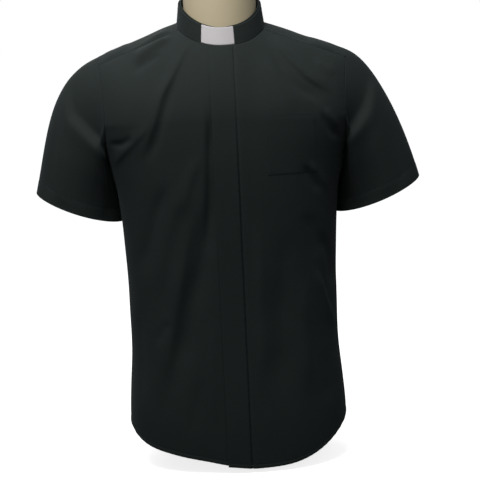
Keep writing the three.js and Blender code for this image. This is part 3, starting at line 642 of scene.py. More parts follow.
def cloth_piece(name, grid, material, thickness, closed=False):
    """A thin closed shell whose outer face is the grid, with its cut in metres as its UV."""
    rows, columns = grid.shape[:2]
    inner = grid - grid_normals(grid, closed) * thickness
    points = np.concatenate([grid.reshape(-1, 3), inner.reshape(-1, 3)])
    points[:, 2] -= drop_at(points[:, 0], points[:, 2])
    rise, _, run, _ = edge_distances(wrapped(grid) if closed else grid)
    cut = np.stack([run, rise], -1).reshape(-1, 2)
    width = columns + closed
    corner = np.arange(rows * width).reshape(rows, width)
    point_of = ((corner // width) * columns + (corner % width) % columns).ravel()
    count = rows * columns
    a, b, c, d = corner[:-1, :-1], corner[:-1, 1:], corner[1:, 1:], corner[1:, :-1]
    quads = []

    def add_quads(corners, lift):
        ids = np.stack([part.ravel() for part in corners], -1)
        quads.append((point_of[ids] + np.array(lift), ids))

    add_quads((a, b, c, d), 0)
    add_quads((a, d, c, b), count)
    rims = [(corner[0], (count, count, 0, 0)), (corner[-1], (0, 0, count, count))]
    if not closed:
        rims += [(corner[:, 0], (0, 0, count, count)), (corner[:, -1], (count, count, 0, 0))]
    for rim_corners, lift in rims:
        start, end = rim_corners[:-1], rim_corners[1:]
        add_quads((start, end, end, start), lift)
    faces = np.concatenate([faces for faces, _ in quads])
    uvs = cut[np.concatenate([ids for _, ids in quads]).ravel()]
    return finished_mesh(name, points, faces.tolist(), material, corner_uvs=uvs)


def worn_piece(name, replaced, grid, thickness=CLOTH, closed=False):
    piece = cloth_piece(name, grid, poplin, thickness, closed)
    stands_for(piece, replaced)


def raised(grid, height, closed=False):
    return grid + grid_normals(grid, closed) * height[..., None]


def mirrored(grid):
    return grid[:, ::-1] * np.array([-1, 1, 1])


# Poplin: a close plain weave of fine black cotton and polyester yarn, dyed in the piece and
# pressed. It gives the eye a dull blue-black with a soft bloom where it turns away. Its 0.25 mm
# threads are too fine to show, so they are drawn 0.9 mm apart, with slubs 4 mm long.
THREAD_PITCH = 0.0009
WAVE_PER_SCALE = 2 * math.pi / 20

poplin, tree = blank_material("black_cotton_poplin")
cut = node(tree, "ShaderNodeTexCoord").outputs["UV"]
wave = {"Vector": cut, "Scale": WAVE_PER_SCALE / THREAD_PITCH, "Distortion": 0.6, "Detail Scale": 2.0}
warp, weft = (node(tree, "ShaderNodeTexWave", wave, bands_direction=way).outputs[1] for way in "XY")
weave = node(tree, "ShaderNodeMath", {0: warp, 1: weft}, operation="ADD")
threads = {"Height": weave.outputs[0], "Strength": 0.35, "Distance": 0.00012}
thread_relief = node(tree, "ShaderNodeBump", threads).outputs[0]
drawn_out = node(tree, "ShaderNodeMapping", {"Vector": cut, "Scale": (900, 240, 1)})
slubs = noise(tree, drawn_out.outputs[0], 1.0, 2.0)
slub_bumps = {"Height": slubs, "Strength": 0.3, "Distance": 0.0002, "Normal": thread_relief}
dye = two_tones(tree, noise(tree, cut, 9.0, 5.0, 0.6), "#1f2524", "#242a29")
yarn = node(tree, "ShaderNodeMix", {0: slubs, 6: dye, 7: linear("#29302f")}, data_type="RGBA")
limits = {"Value": noise(tree, cut, 260.0, 3.0), "To Min": 0.74, "To Max": 0.9}
look = {"Base Color": yarn.outputs[2], "IOR": 1.5, "Specular IOR Level": 0.16}
look["Roughness"] = node(tree, "ShaderNodeMapRange", limits).outputs[0]
look["Normal"] = node(tree, "ShaderNodeBump", slub_bumps).outputs[0]
look |= {"Sheen Weight": 0.06, "Sheen Roughness": 0.45, "Sheen Tint": linear("#cfdfe8")}
poplin_skin = node(tree, "ShaderNodeBsdfPrincipled", look)
node(tree, "ShaderNodeOutputMaterial", {"Surface": poplin_skin.outputs[0]})

# Creases as (points of the line in x and z as worn, half-width, height, lean where it has one)
RIGHT_FRONT_CREASES = [
    ([(-48, 730), (-81, 668), (-100, 635), (-117, 588), (-144, 529)], 8, 5.2, 0.45),
    ([(-70, 666), (-86, 636), (-97, 606), (-112, 566), (-134, 522)], 6, -3.2, 0),
    ([(-192, 518), (-165, 549), (-142, 571), (-120, 596)], 8, 2.8, -0.3),
    ([(-196, 560), (-170, 560), (-150, 573)], 6, -3.0, 0),
    ([(-76, 734), (-98, 721), (-127, 706), (-148, 689)], 7, 6.5, 0.3),
    ([(-96, 705), (-122, 693), (-139, 682), (-143, 668)], 6, -3.8, 0),
    ([(-94, 505), (-114, 458), (-140, 380), (-152, 320)], 12, -3.6, 0),
    ([(-42, 545), (-66, 486), (-80, 430)], 10, 2.4, 0.2),
    ([(-70, 520), (-98, 420), (-132, 300)], 9, 1.4, 0),
    ([(-25, 640), (-25, 575), (-28, 515), (-33, 440), (-40, 360)], 10, -7.0, -0.4),
    ([(-34, 470), (-54, 349), (-71, 283), (-88, 216), (-102, 120)], 18, -8.5, 0),
    ([(-62, 440), (-74, 390), (-89, 306), (-100, 262), (-122, 167), (-148, 110)], 13, 5.0, 0.3),
    ([(-106, 264), (-120, 243), (-132, 220)], 8, -1.8, 0),
    ([(-34, 300), (-38, 200), (-42, 80)], 9, 1.8, 0),
    ([(-62, 170), (-70, 120), (-80, 60)], 10, -1.4, 0),
    ([(-156, 300), (-160, 200), (-162, 110)], 11, -2.4, 0),
]
PRESSED = 1.7


def right_front():
    grid = mirrored(front_grid(-UNDERLAP_X, HEM_RIGHT))
    low, high, side, closing = edge_distances(grid)
    x, z = grid[..., 0], grid[..., 2]
    below_neck = ease((ARM_TOP_Z - z) / 30 + 0.6)
    slack = creases(RIGHT_FRONT_CREASES, x, z) + ripples(x, z, 0.7) * below_neck
    slack *= ease(side / 22) * ease(high / 13) * ease(closing / 34)
    # Beside the closing the cloth is pressed up to the band's level, except in the deep valley
    pressed = 1 - 0.85 * ease((z - 350) / 60) * ease((610 - z) / 60)
    slack += PRESSED * pressed * (1 - ease((FLY_EDGE_X - 1 - x) / 34)) * ease((FLY_EDGE_X + 3 - x) / 4)
    return raised(grid, slack + sewn_edges(x, z, low, high, side))


right_grid = right_front()
worn_piece("shirt_front_right", "front_right", right_grid)

# Left front, on the viewer's right. The same poplin piece, sewn in the same way; its centre edge
# is joined to the closing's band by a stitched fold that shows as a dark upright groove.
LAYER = 2.6
LAYER_FADE = 70
CLOSING_GATHERS = (13, 0.18)
LEFT_FRONT_CREASES = [
    ([(70, 734), (99, 703), (119, 680), (143, 656), (182, 631)], 8, 5.6, -0.5),
    ([(64, 718), (87, 692), (106, 662), (131, 639), (168, 617)], 7, -3.4, 0),
    ([(150, 690), (168, 672), (190, 664)], 7, 2.0, 0),
    ([(155, 606), (165, 584), (177, 562), (194, 550)], 6, -3.2, 0),
    ([(164, 612), (174, 588), (188, 570)], 6, 2.0, 0),
    ([(62, 694), (92, 650), (118, 600)], 13, 1.4, 0),
    ([(122, 516), (138, 492), (154, 462)], 6, -3.2, 0),
    ([(134, 522), (150, 494), (164, 464)], 7, 2.0, 0),
    ([(148, 404), (157, 377), (165, 343), (167, 296)], 7, -3.8, 0),
    ([(136, 345), (147, 312), (156, 278), (171, 228)], 6, 3.8, 0.4),
    ([(122, 440), (138, 400), (150, 350)], 12, -2.4, 0),
    ([(50, 440), (45, 270), (42, 110)], 13, 3.0, 0),
    ([(94, 420), (80, 260), (78, 100)], 19, -4.6, 0),
    ([(116, 330), (118, 220), (120, 110)], 12, 2.6, 0),
    ([(150, 200), (154, 150), (156, 100)], 10, -2.0, 0),
]


def layer_height(x):
    """What the overlapping front gains beside the closing."""
    return LAYER * (1 - ease((x - FLY_SEAM_X) / LAYER_FADE))


def groove_depth(z):
    """The closing's fold is drawn in more below the chest."""
    return 1.3 + 1.5 * ease((640 - z) / 150)


def left_front():
    grid = front_grid(FLY_SEAM_X, HEM_LEFT)
    low, high, closing, side = edge_distances(grid)
    x, z = grid[..., 0], grid[..., 2]
    below_neck = ease((ARM_TOP_Z - z) / 30 + 0.6)
    slack = creases(LEFT_FRONT_CREASES, x, z) + ripples(x, z, 2.3) * below_neck
    slack *= ease(side / 22) * ease(high / 13) * ease(closing / 26)
    slack += puckers(z, closing, *CLOSING_GATHERS) - groove_depth(z) * bell(closing, 1.9)
    return raised(grid, slack + sewn_edges(x, z, low, high, side) + layer_height(x))


left_grid = left_front()
worn_piece("shirt_front_left", "front_left", left_grid)

# Closing. A folded band of poplin hides the buttons: it is sewn to the left front along the
# groove, lies over the right front, and its free folded edge shows on the viewer's left.
BAND_FOOT = 4.7
BAND_WIDTH = 40


def closing_band():
    share = steps_over(BAND_WIDTH, 2.2, 0.8, 5)[None, :]
    low_z = mix(HEM_Z + BAND_FOOT * (1 - share), ARMPIT_Z, lower_steps[:, None])
    x = mix(FLY_EDGE_X, FLY_SEAM_X, share)
    lower = spots(x, depth_at(x, low_z, FRONT), low_z)
    row = np.concatenate([np.linspace(0, 4.6, 48)[:-1], np.linspace(4.6, 5, 10)])[:, None]
    top = neck_point(np.arcsin(x / NECK_WIDTH))[..., 2]
    level = mix(level_of_height(x, ARMPIT_Z), level_of_height(x, top), row / CENTRE_ROWS)
    grid = np.concatenate([lower, body_point(x, level, FRONT)])
    low, high, free, seam = edge_distances(grid)
    x, z = grid[..., 0], grid[..., 2]
    under = creases(RIGHT_FRONT_CREASES, x, z) * ease((UNDERLAP_X - x) / 30)
    slack = np.maximum(under, 0) + 0.35 * np.sin(z / 47) * ease(free / 8) * ease(seam / 8)
    slack += 0.35 * (1 - ease(z / 420)) * np.sin(z / 31 + 1) * (1 - ease(free / 12))
    sewn = hem_fold(low, HEM_DEPTH) + seam_roll(high, 0.2) - groove_depth(z) * bell(seam, 1.5)
    sewn -= 0.5 * bell(free, 1.2)
    return raised(grid, LAYER + slack + sewn + puckers(z, seam, *CLOSING_GATHERS))


band_grid = closing_band()
worn_piece("closing_band", "fly_band", band_grid)

# Back. One wide piece of poplin between the side seams, sewn into the yoke above and turned up
# in the same curved hem. It hangs slack from the shoulder blades in long upright folds.
HEM_BACK_LATE = 3
BACK_CREASES = [
    ([(-92, 600), (-80, 420), (-64, 170)], 17, -7.0),
    ([(-60, 560), (-46, 330), (-30, 90)], 15, 5.0),
    ([(-20, 470), (-14, 300), (-6, 120)], 12, -3.0),
    ([(16, 560), (26, 360), (34, 150)], 15, -6.0),
    ([(58, 600), (60, 380), (58, 140)], 14, 3.4),
    ([(98, 600), (94, 400), (84, 130)], 17, -7.0),
    ([(126, 430), (132, 280), (134, 110)], 14, 5.0),
    ([(-130, 470), (-124, 300), (-128, 110)], 14, 3.6),
    ([(-178, 590), (-140, 560), (-104, 550)], 10, -3.2),
    ([(-188, 560), (-150, 520), (-120, 470)], 10, 2.8),
    ([(180, 590), (144, 562), (110, 556)], 10, -3.2),
    ([(190, 556), (156, 520), (126, 468)], 10, 2.8),
    ([(-60, 650), (-66, 600), (-72, 540)], 10, 2.0),
    ([(64, 650), (70, 600), (74, 540)], 10, 2.0),
    ([(-150, 360), (-162, 320), (-176, 290)], 9, -2.6),
    ([(150, 372), (164, 330), (178, 300)], 9, -2.6),
]
back_shares = np.concatenate([-half_shares[:0:-1], half_shares])[::-1]
back_steps = np.concatenate([np.linspace(0, 0.93, 44)[:-1], np.linspace(0.93, 1, 11)])


def back_row(part, share):
    arm = arm_point(YOKE_BACK_ARM * part, BACK)
    x = arm[..., 0] * share
    z = mix(mix(ARMPIT_Z, YOKE_BACK_Z, part), arm[..., 2], share * share)
    return body_point(x, level_of_height(x, z), BACK)


def shirt_back():
    share = back_shares[None, :]
    top = back_row(back_steps[:, None], share)
    side = np.where(share < 0, sum(HEM_RIGHT[:2]), sum(HEM_LEFT[:2]))
    foot = HEM_Z + side * np.abs(share) ** HEM_BACK_LATE
    z = mix(foot, top[:1, :, 2], lower_steps[:, None])
    x = between_rows(BODY, z, 1) * share
    grid = np.concatenate([spots(x, depth_at(x, z, BACK), z), top])
    low, high, first, last = edge_distances(grid)
    side_gap = np.minimum(first, last)
    x, z = grid[..., 0], grid[..., 2]
    slack = creases(BACK_CREASES, x, z) + ripples(x, z, 4.1)
    slack *= ease(side_gap / 26) * ease(high / 22)
    slack += puckers(x, high, 12, 0.2)
    return raised(grid, slack + sewn_edges(x, z, low, high, side_gap))


back_grid = shirt_back()
worn_piece("shirt_back", "back", back_grid)

# Yoke. Two layers of poplin over the shoulders, from front seams that lie forward of the ridge
# to the seam across the back. It takes the shirt's whole weight on the form's shoulders.
YOKE_ARM_STEPS = 22
YOKE_SEAM_STEPS = 110
YOKE_SEAM_START = math.radians(118)
YOKE_ROWS = 150
# These lie on the yoke's front part, in x and z as worn
YOKE_FRONT_CREASES = [
    ([(-76, 744), (-118, 720), (-160, 692)], 7, 4.0),
    ([(-84, 736), (-120, 707), (-148, 687)], 6, -3.4),
    ([(-150, 722), (-176, 708), (-200, 700)], 8, 2.4),
    ([(68, 727), (98, 711), (118, 697)], 6, 2.6),
    ([(84, 736), (116, 716), (150, 704)], 9, -2.0),
    ([(140, 722), (170, 708), (196, 700)], 8, 2.2),
]


def yoke_edge():
    """The yoke's outer edge and the angles of the neckline that its columns reach."""
    half = np.linspace(0, 1, YOKE_ARM_STEPS + 1)
    before = arm_point(mix(YOKE_FRONT_ARM, math.pi, half), FRONT)
    behind = arm_point(mix(math.pi, YOKE_BACK_ARM, half[1:]), BACK)
    arm = np.concatenate([before, behind])
    seam = back_row(1.0, np.linspace(1, -1, YOKE_SEAM_STEPS + 1)[1:-1])
    outer = np.concatenate([arm, seam, arm[::-1] * np.array([-1, 1, 1])])
    steps = len(arm) - 1
    side = mix(YOKE_NECK_ANGLE, YOKE_SEAM_START, np.linspace(0, 1, steps + 1))
    behind_neck = np.linspace(YOKE_SEAM_START, 2 * math.pi - YOKE_SEAM_START, YOKE_SEAM_STEPS + 1)[1:-1]
    return outer, np.concatenate([side, behind_neck, 2 * math.pi - side[::-1]])


def shirt_yoke():
    outer, angles = yoke_edge()
    share = steps_over(YOKE_ROWS, 3.0)[:, None]
    neck = neck_point(angles)
    x = mix(neck[None, :, 0], outer[None, :, 0], share)
    y = mix(neck[None, :, 1], outer[None, :, 1], share)
    front = upper_front(np.array([[float(ARM_ROWS)]]), FLY_SEAM_X, share.T)[0]
    near = 1 - ease(np.arange(len(outer)) / YOKE_ARM_STEPS)
    for side, end, weight in ((1, 0, near), (-1, -1, near[::-1])):
        x = x + (side * front[:, :1] - x[:, [end]]) * weight
        y = y + (front[:, 1:2] - y[:, [end]]) * weight
    grid = shoulder_point(x, y)
    grid[-1] = outer
    grid = grid[::-1]
    low, high, first, last = edge_distances(grid)
    gap = np.minimum(first, last)
    x, y, z = grid[..., 0], grid[..., 1], grid[..., 2]
    slack = creases(YOKE_FRONT_CREASES, x, z) * ease((RIDGE_Y + 30 - y) / 40) + 0.8 * ripples(x, y, 1.1)
    slack *= ease(low / 14) * ease(high / 18) * ease(gap / 9)
    sewn = seam_roll(low) + seam_roll(high, 0.2) + seam_roll(gap) + felled(gap, 5) + felled(low, 5)
    return raised(grid, slack + sewn + puckers(x, gap, 12, 0.2))


yoke_grid = shirt_yoke()
worn_piece("shirt_yoke", "yoke", yoke_grid)

# Sleeves. Short set-in sleeves of one piece each, closed under the arm and eased into the
# armhole, with a plain turned hem. No arm fills them, so they stand off the form's shoulder,
# dent beside the armhole and break over in a low arc further out.
CUFF_X, CUFF_Y, CUFF_Z = 256.8, -1, 448.5
CUFF_ACROSS, CUFF_DEEP = 75.5, 50
CUFF_TILT = math.radians(22.4)
CUFF_NOD = math.radians(9)
CORNER_BEHIND, CORNER_INWARD, CORNER_POWER = 34, 5, 3
ARRIVE_TOP, ARRIVE_UNDER = math.radians(15), math.radians(3)
LEAVE_TOP, LEAVE_UNDER = math.radians(20), math.radians(92)
REACH_RIGHT, REACH_LEFT, REACH_UNDER = 93, 60, 36
CUFF_HEM = 22
SLEEVE_COLUMNS = 168
SLEEVE_LENGTH = 215

half_ring = np.linspace(0, math.pi, SLEEVE_COLUMNS // 2 + 1)
ring_angle = np.concatenate([half_ring, half_ring[-2:0:-1]])
ring_facing = np.where(np.arange(SLEEVE_COLUMNS) <= SLEEVE_COLUMNS // 2, FRONT, BACK)

# The arc that each sleeve breaks over in, and the hollow above it: angle up from the armpit,
# share of the way down to the arc, depth of the hollow beside it
ARC_WIDTH, ARC_RISE = 0.036, 1.8
HOLLOW_DEPTH, HOLLOW_CURVE = 1.25, 1.1
# The cloth settles down to this share of the sleeve, and most of all up to this angle
SETTLED_TO, SETTLED_UP_TO = 0.5, 84
ARC_RIGHT = np.array([
    (28, 0.0, 0),
    (38, 0.035, 2.5),
    (46, 0.075, 6.5),
    (56, 0.125, 10.5),
    (72, 0.2, 12),
    (88, 0.262, 11.5),
    (104, 0.302, 10),
    (116, 0.325, 9),
    (128, 0.35, 7.5),
    (142, 0.31, 5),
    (158, 0.262, 2.4),
    (180, 0.2, 0),
]).T
ARC_LEFT = np.array([
    (34, 0.0, 0),
    (44, 0.05, 3),
    (52, 0.095, 7.5),
    (60, 0.14, 10.5),
    (74, 0.21, 12),
    (90, 0.275, 11),
    (112, 0.315, 9),
    (130, 0.302, 6),
    (148, 0.288, 3.4),
    (162, 0.275, 1.6),
    (180, 0.2, 0),
]).T


def cuff_point(angle, facing):
    across = -CUFF_ACROSS * np.cos(angle)
    deep = facing * CUFF_DEEP * np.sin(angle)
    corner = ((1 + np.cos(angle)) / 2) ** CORNER_POWER
    x = CUFF_X + across * math.cos(CUFF_TILT) - CORNER_INWARD * corner
    y = CUFF_Y + deep * math.cos(CUFF_NOD) + CORNER_BEHIND * corner
    return np.stack([x, y, CUFF_Z + across * math.sin(CUFF_TILT) + deep * math.sin(CUFF_NOD)], -1)


def eased_out(grid, share, passes=14):
    """Lets a closed grid's points settle between their neighbours, by a share of the way."""
    for _ in range(passes):
        beside = (np.roll(grid, 1, axis=1) + np.roll(grid, -1, axis=1)) / 2
        along = (grid[:-2] + grid[2:]) / 2
        grid = grid.copy()
        grid[1:-1] += share[1:-1, :, None] * ((beside[1:-1] + along) / 2 - grid[1:-1])
    return grid


def sleeve_grid(reach_top, arc, folds):
    over = (1 - np.cos(ring_angle)) / 2
    start, end = arm_point(ring_angle, ring_facing), cuff_point(ring_angle, ring_facing)
    leave, arrive = mix(LEAVE_UNDER, LEAVE_TOP, over), mix(ARRIVE_UNDER, ARRIVE_TOP, over)
    reach = mix(REACH_UNDER, reach_top, over)[:, None]
    flat = np.zeros_like(over)
    a = start + np.stack([np.cos(leave), flat, -np.sin(leave)], -1) * reach
    b = end - np.stack([np.sin(arrive), flat, -np.cos(arrive)], -1) * reach
    t = (1 - steps_over(SLEEVE_LENGTH, 2.8, 1.0, 8))[:, None, None]
    grid = start * (1 - t) ** 3 + 3 * a * t * (1 - t) ** 2 + 3 * b * t * t * (1 - t) + end * t**3
    t = t[..., 0]
    angle = np.degrees(ring_angle)[None, :]
    arc_at, depth = (np.interp(angle, arc[0], row) for row in arc[1:])
    behind = ring_facing[None, :] == BACK
    width = np.where(behind, 2.2, 1) * ARC_WIDTH
    deepening = np.clip(t / np.maximum(arc_at, 0.08), 0, 1) ** HOLLOW_CURVE
    hollow = HOLLOW_DEPTH * depth * ease((arc_at - t) / width + 0.75) * deepening
    rise = ARC_RISE * bell(t - (arc_at + 0.06), 0.07) * ease(depth / 5)
    height = np.where(behind, 0.6, 1) * (rise - hollow)
    for t1, a1, t2, a2, width, rise, side in folds:
        along = np.clip((t - t1) / (t2 - t1), -0.3, 1.3)
        middle = mix(a1, a2, np.clip(along, 0, 1))
        fade = ease((t - t1 + 0.1) / 0.18) * ease((t2 + 0.1 - t) / 0.18)
        height = height + rise * bell(angle - middle, width) * fade * (ring_facing == side)[None, :]
    low, high, run, _ = (part[:, :-1] for part in edge_distances(wrapped(grid)))
    height = height * ease(low / 26) * ease(high / 6)
    height += 0.5 * np.sin(run / 13 + 3 * t) * ease(low / 30) * ease(high / 30)
    sewn = hem_fold(low, CUFF_HEM) * 0.9 + seam_roll(high, 0.2) + puckers(run, high, 8, 0.45)
    sewn += puckers(run, low - CUFF_HEM, 10, 0.2)
    settling = ease(t / 0.03) * ease((SETTLED_TO - t) / 0.14)
    settling = settling * mix(0.4, 1, ease((SETTLED_UP_TO - angle) / 24))
    return raised(eased_out(raised(grid, height, True), settling), sewn, True)


# Folds on a sleeve: share of the way down and angle round at each end, half-width in degrees,
# height, and the side they lie on
SLEEVE_RIGHT_FOLDS = [
    (0.16, 36, 1.0, 40, 13, -4, FRONT),
    (0.26, 52, 1.0, 56, 10, 1.6, FRONT),
    (0.6, 118, 1.0, 112, 12, 1.4, FRONT),
    (0.55, 140, 1.0, 134, 10, -1.2, FRONT),
    (0.25, 60, 0.95, 64, 16, -3.0, BACK),
    (0.4, 110, 1.0, 100, 13, 2.2, BACK),
    (0.5, 140, 1.0, 132, 12, -1.8, BACK),
]
SLEEVE_LEFT_FOLDS = [
    (0.16, 38, 1.0, 42, 13, -4, FRONT),
    (0.24, 56, 1.0, 60, 10, 1.6, FRONT),
    (0.5, 104, 1.0, 96, 12, 1.4, FRONT),
    (0.55, 132, 1.0, 124, 10, -1.4, FRONT),
    (0.25, 62, 0.95, 66, 16, -3.0, BACK),
    (0.4, 106, 1.0, 98, 13, 2.2, BACK),
    (0.5, 136, 1.0, 130, 12, -1.8, BACK),
]
sleeve_right = sleeve_grid(REACH_RIGHT, ARC_RIGHT, SLEEVE_RIGHT_FOLDS)
sleeve_right = np.roll(mirrored(sleeve_right), 1, axis=1)
sleeve_left = sleeve_grid(REACH_LEFT, ARC_LEFT, SLEEVE_LEFT_FOLDS)
worn_piece("sleeve_right_cloth", "sleeve_right", sleeve_right, closed=True)
worn_piece("sleeve_left_cloth", "sleeve_left", sleeve_left, closed=True)

# Collar. A stiff upright band of interlined poplin stands on the neckline and stops short at the
# front, where the white tab shows. An inner band behind it closes round the neck.
COLLAR_CLOTH = 1.5
COLLAR_TOP_WIDTH, COLLAR_TOP_DEPTH, COLLAR_TOP_Y = 69, 63.5, -11
COLLAR_FRONT, COLLAR_SIDE, COLLAR_BACK = 30, 35, 40
SEAM_GAP = 0.3
COLLAR_LIFT = 1.2
SEWN_IN, SEWN_DOWN = 0.9, 2.7
BAND_STEP = 1.2
BAND_GAP_ANGLE = 0.004
WINDOW_RIGHT = math.asin(-31.5 / COLLAR_TOP_WIDTH)
WINDOW_LEFT = math.asin(20.5 / COLLAR_TOP_WIDTH)
TUCK = 9 / COLLAR_TOP_WIDTH
TAB_THICKNESS = 1
TAB_INSET = COLLAR_CLOTH + SEAM_GAP
BAND_INSET = TAB_INSET + TAB_THICKNESS + SEAM_GAP
TAB_SHARE = 0.95


def collar_height(angle):
    turned_by = np.cos(angle)
    before, behind = mix(COLLAR_SIDE, COLLAR_FRONT, turned_by), mix(COLLAR_SIDE, COLLAR_BACK, -turned_by)
    return np.where(turned_by > 0, before, behind)


def collar_grid(start, end, inwards, columns, top=lambda angle: 1.0):
    angle = mix(start, end, np.linspace(0, 1, columns))[None, :]
    up = steps_over(34, 2.0, 0.6, 4)[:, None]
    part = up * top(angle)
    width = mix(NECK_WIDTH, COLLAR_TOP_WIDTH, part) - inwards
    depth = mix(NECK_DEPTH, COLLAR_TOP_DEPTH, part) - inwards
    y = mix(NECK_MIDDLE_Y, COLLAR_TOP_Y, part) - depth * np.cos(angle)
    lift = 2 * SEAM_GAP + min(inwards, 1) * COLLAR_LIFT
    z = neck_point(angle)[..., 2] + lift + collar_height(angle) * part
    return spots(width * np.sin(angle), y, z)


def collar_stand():
    grid = collar_grid(WINDOW_LEFT, WINDOW_RIGHT + 2 * math.pi, 0, 260)
    low, high, first, last = edge_distances(grid)
    edge = np.minimum(np.minimum(first, last), high)
    rounded = -0.7 * bell(edge, 0.9) - SEWN_IN * bell(low, 1.0)
    rows = -0.22 * bell(edge - 5, 0.9) - 0.22 * bell(low - 4, 0.9)
    wave = 0.22 * np.sin(first / 19) * ease(low / 12) * ease(high / 12)
    made = raised(grid, rounded + rows + wave)
    made[..., 2] -= SEWN_DOWN * bell(low, 1.6)
    return made


stand_grid = collar_stand()
worn_piece("collar_stand_cloth", "collar_stand", stand_grid, COLLAR_CLOTH)


def band_top(angle):
    front = bell(np.sin(angle / 2), 0.12)
    return 1 + (BAND_STEP * (1 - front) - COLLAR_LIFT) / collar_height(angle)


inner_grid = collar_grid(BAND_GAP_ANGLE, 2 * math.pi - BAND_GAP_ANGLE, BAND_INSET, 260, band_top)
worn_piece("collar_band_cloth", "collar_band", inner_grid, COLLAR_CLOTH)

# Collar tab. A strip of white moulded plastic slides into the gap at the front of the collar,
# with its ends tucked behind the stand. Its corners are cut square and its face is plain.
# Moulded plastic: a cool white with a soft gloss and the least ripple of a pressed sheet
tab_plastic = mottled_skin(
    "moulded_white_plastic",
    tones=("#cfcbcd", "#d6d2d4"),
    mottle=(60.0, 3.0),
    rough=(0.36, 0.46),
    grain=(900.0, 1.0),
    relief=(0.12, 0.0001),
    ior=1.49,
)


def tab_top(angle):
    """The tab's ends are cut lower where they are tucked in."""
    tucked = np.maximum(WINDOW_RIGHT - angle, angle - WINDOW_LEFT) * COLLAR_TOP_WIDTH
    return TAB_SHARE - 0.12 * ease((tucked + 0.5) / 2)


def collar_tab():
    grid = collar_grid(WINDOW_RIGHT - TUCK, WINDOW_LEFT + TUCK, TAB_INSET, 72, tab_top)
    low, high, first, last = edge_distances(grid)
    edge = np.minimum(np.minimum(low, high), np.minimum(first, last))
    return raised(grid, -0.3 * bell(edge, 0.5))


tab = cloth_piece("collar_tab_plastic", collar_tab(), tab_plastic, TAB_THICKNESS)
stands_for(tab, "collar_tab")

# Chest pocket. A patch of poplin on the wearer's left chest, with its edges turned under and
# stitched down on three sides. Its mouth has a broad turned hem and stands a little open.
POCKET_LEFT, POCKET_RIGHT, POCKET_BOTTOM, POCKET_TOP = 65, 146, 501, 622
POCKET_CLOTH = 0.5
POCKET_LIFT = 0.58
POCKET_SINK = 0.15
POCKET_HEM = 24


def chest_pocket():
    x = mix(POCKET_LEFT, POCKET_RIGHT, steps_over(POCKET_RIGHT - POCKET_LEFT, 2.5, 0.8, 6))[None, :]
    z = mix(POCKET_BOTTOM, POCKET_TOP, steps_over(POCKET_TOP - POCKET_BOTTOM, 2.5, 0.8, 6))[:, None]
    grid = body_point(x, level_of_height(x, z), FRONT)
    low, high, first, last = edge_distances(grid)
    sewn_edge = np.minimum(low, np.minimum(first, last))
    x, z = grid[..., 0], grid[..., 2]
    slack = creases(LEFT_FRONT_CREASES, x, z) + ripples(x, z, 2.3)
    turned_in = -0.12 * bell(sewn_edge - 2, 0.9) - 0.3 * bell(sewn_edge, 1.2)
    mouth = 0.5 * bell(high, 16) * ease(np.minimum(first, last) / 16)
    hem_row = -0.1 * bell(high - POCKET_HEM, 1)
    gathers = puckers(x + z, sewn_edge, 10, 0.1) + 0.2 * np.sin(x / 9 + z / 27) * ease(sewn_edge / 10)
    made_up = np.maximum(turned_in + mouth + hem_row + gathers, -POCKET_SINK)
    return raised(grid, slack + layer_height(x) + POCKET_LIFT + made_up)


pocket_grid = chest_pocket()
worn_piece("chest_pocket_cloth", "chest_pocket", pocket_grid, POCKET_CLOTH)

# Stitching. Lockstitch in black polyester thread, ten stitches to 25 mm, holds the hems, the
# cuffs, the closing, the yoke, the pocket and the collar's edges. Each stitch is one short bead.
STITCH_PITCH = 2.5
STITCH_LENGTH = 2.0
THREAD_THICKNESS = 0.42
THREAD_LIFT = 0.1
# How far each row runs from its edge, and how far it stops short of its ends
BAND_ROW, YOKE_ROW, POCKET_ROW = 1.6, 3.0, 2.0
STAND_FOOT_ROW, STAND_ROW = 4.0, 5.0

# Filament polyester, twisted and waxed: black with a faint shine that the cloth lacks
thread, tree = blank_material("black_polyester_thread")
place = node(tree, "ShaderNodeTexCoord").outputs["Object"]
tint = two_tones(tree, noise(tree, place, 1500.0, 1.0), "#171c1d", "#2a3133")
look = {"Base Color": tint, "Roughness": 0.5, "Specular IOR Level": 0.3}
skin = node(tree, "ShaderNodeBsdfPrincipled", look)
node(tree, "ShaderNodeOutputMaterial", {"Surface": skin.outputs[0]})


def stitch_row(grid, distance, gap, closed=False, side=1):
    """Points along a grid's columns where the distance from an edge is the gap."""
    lifted = grid + side * grid_normals(grid, closed) * THREAD_LIFT
    lifted[..., 2] -= drop_at(lifted[..., 0], lifted[..., 2])
    columns = range(grid.shape[1])
    row = np.array([[np.interp(gap, distance[:, j], lifted[:, j, k]) for k in range(3)] for j in columns])
    return np.vstack([row, row[:1]]) if closed else row


def trimmed(row, gap):
    """A row that stops a gap short of both its ends."""
    run = np.concatenate([[0], np.cumsum(np.linalg.norm(np.diff(row, axis=0), axis=1))])
    return row[(run >= gap) & (run <= run[-1] - gap)]


def stitch_column(grid, distance, gap):
    """Points along a grid's rows where the distance from its first or last edge is the gap."""
    turned_grid, turned_distance = grid.transpose(1, 0, 2), distance.T
    if turned_distance[0, 0] > turned_distance[-1, 0]:
        turned_grid, turned_distance = turned_grid[::-1], turned_distance[::-1]
    return stitch_row(turned_grid, turned_distance, gap, side=-1)


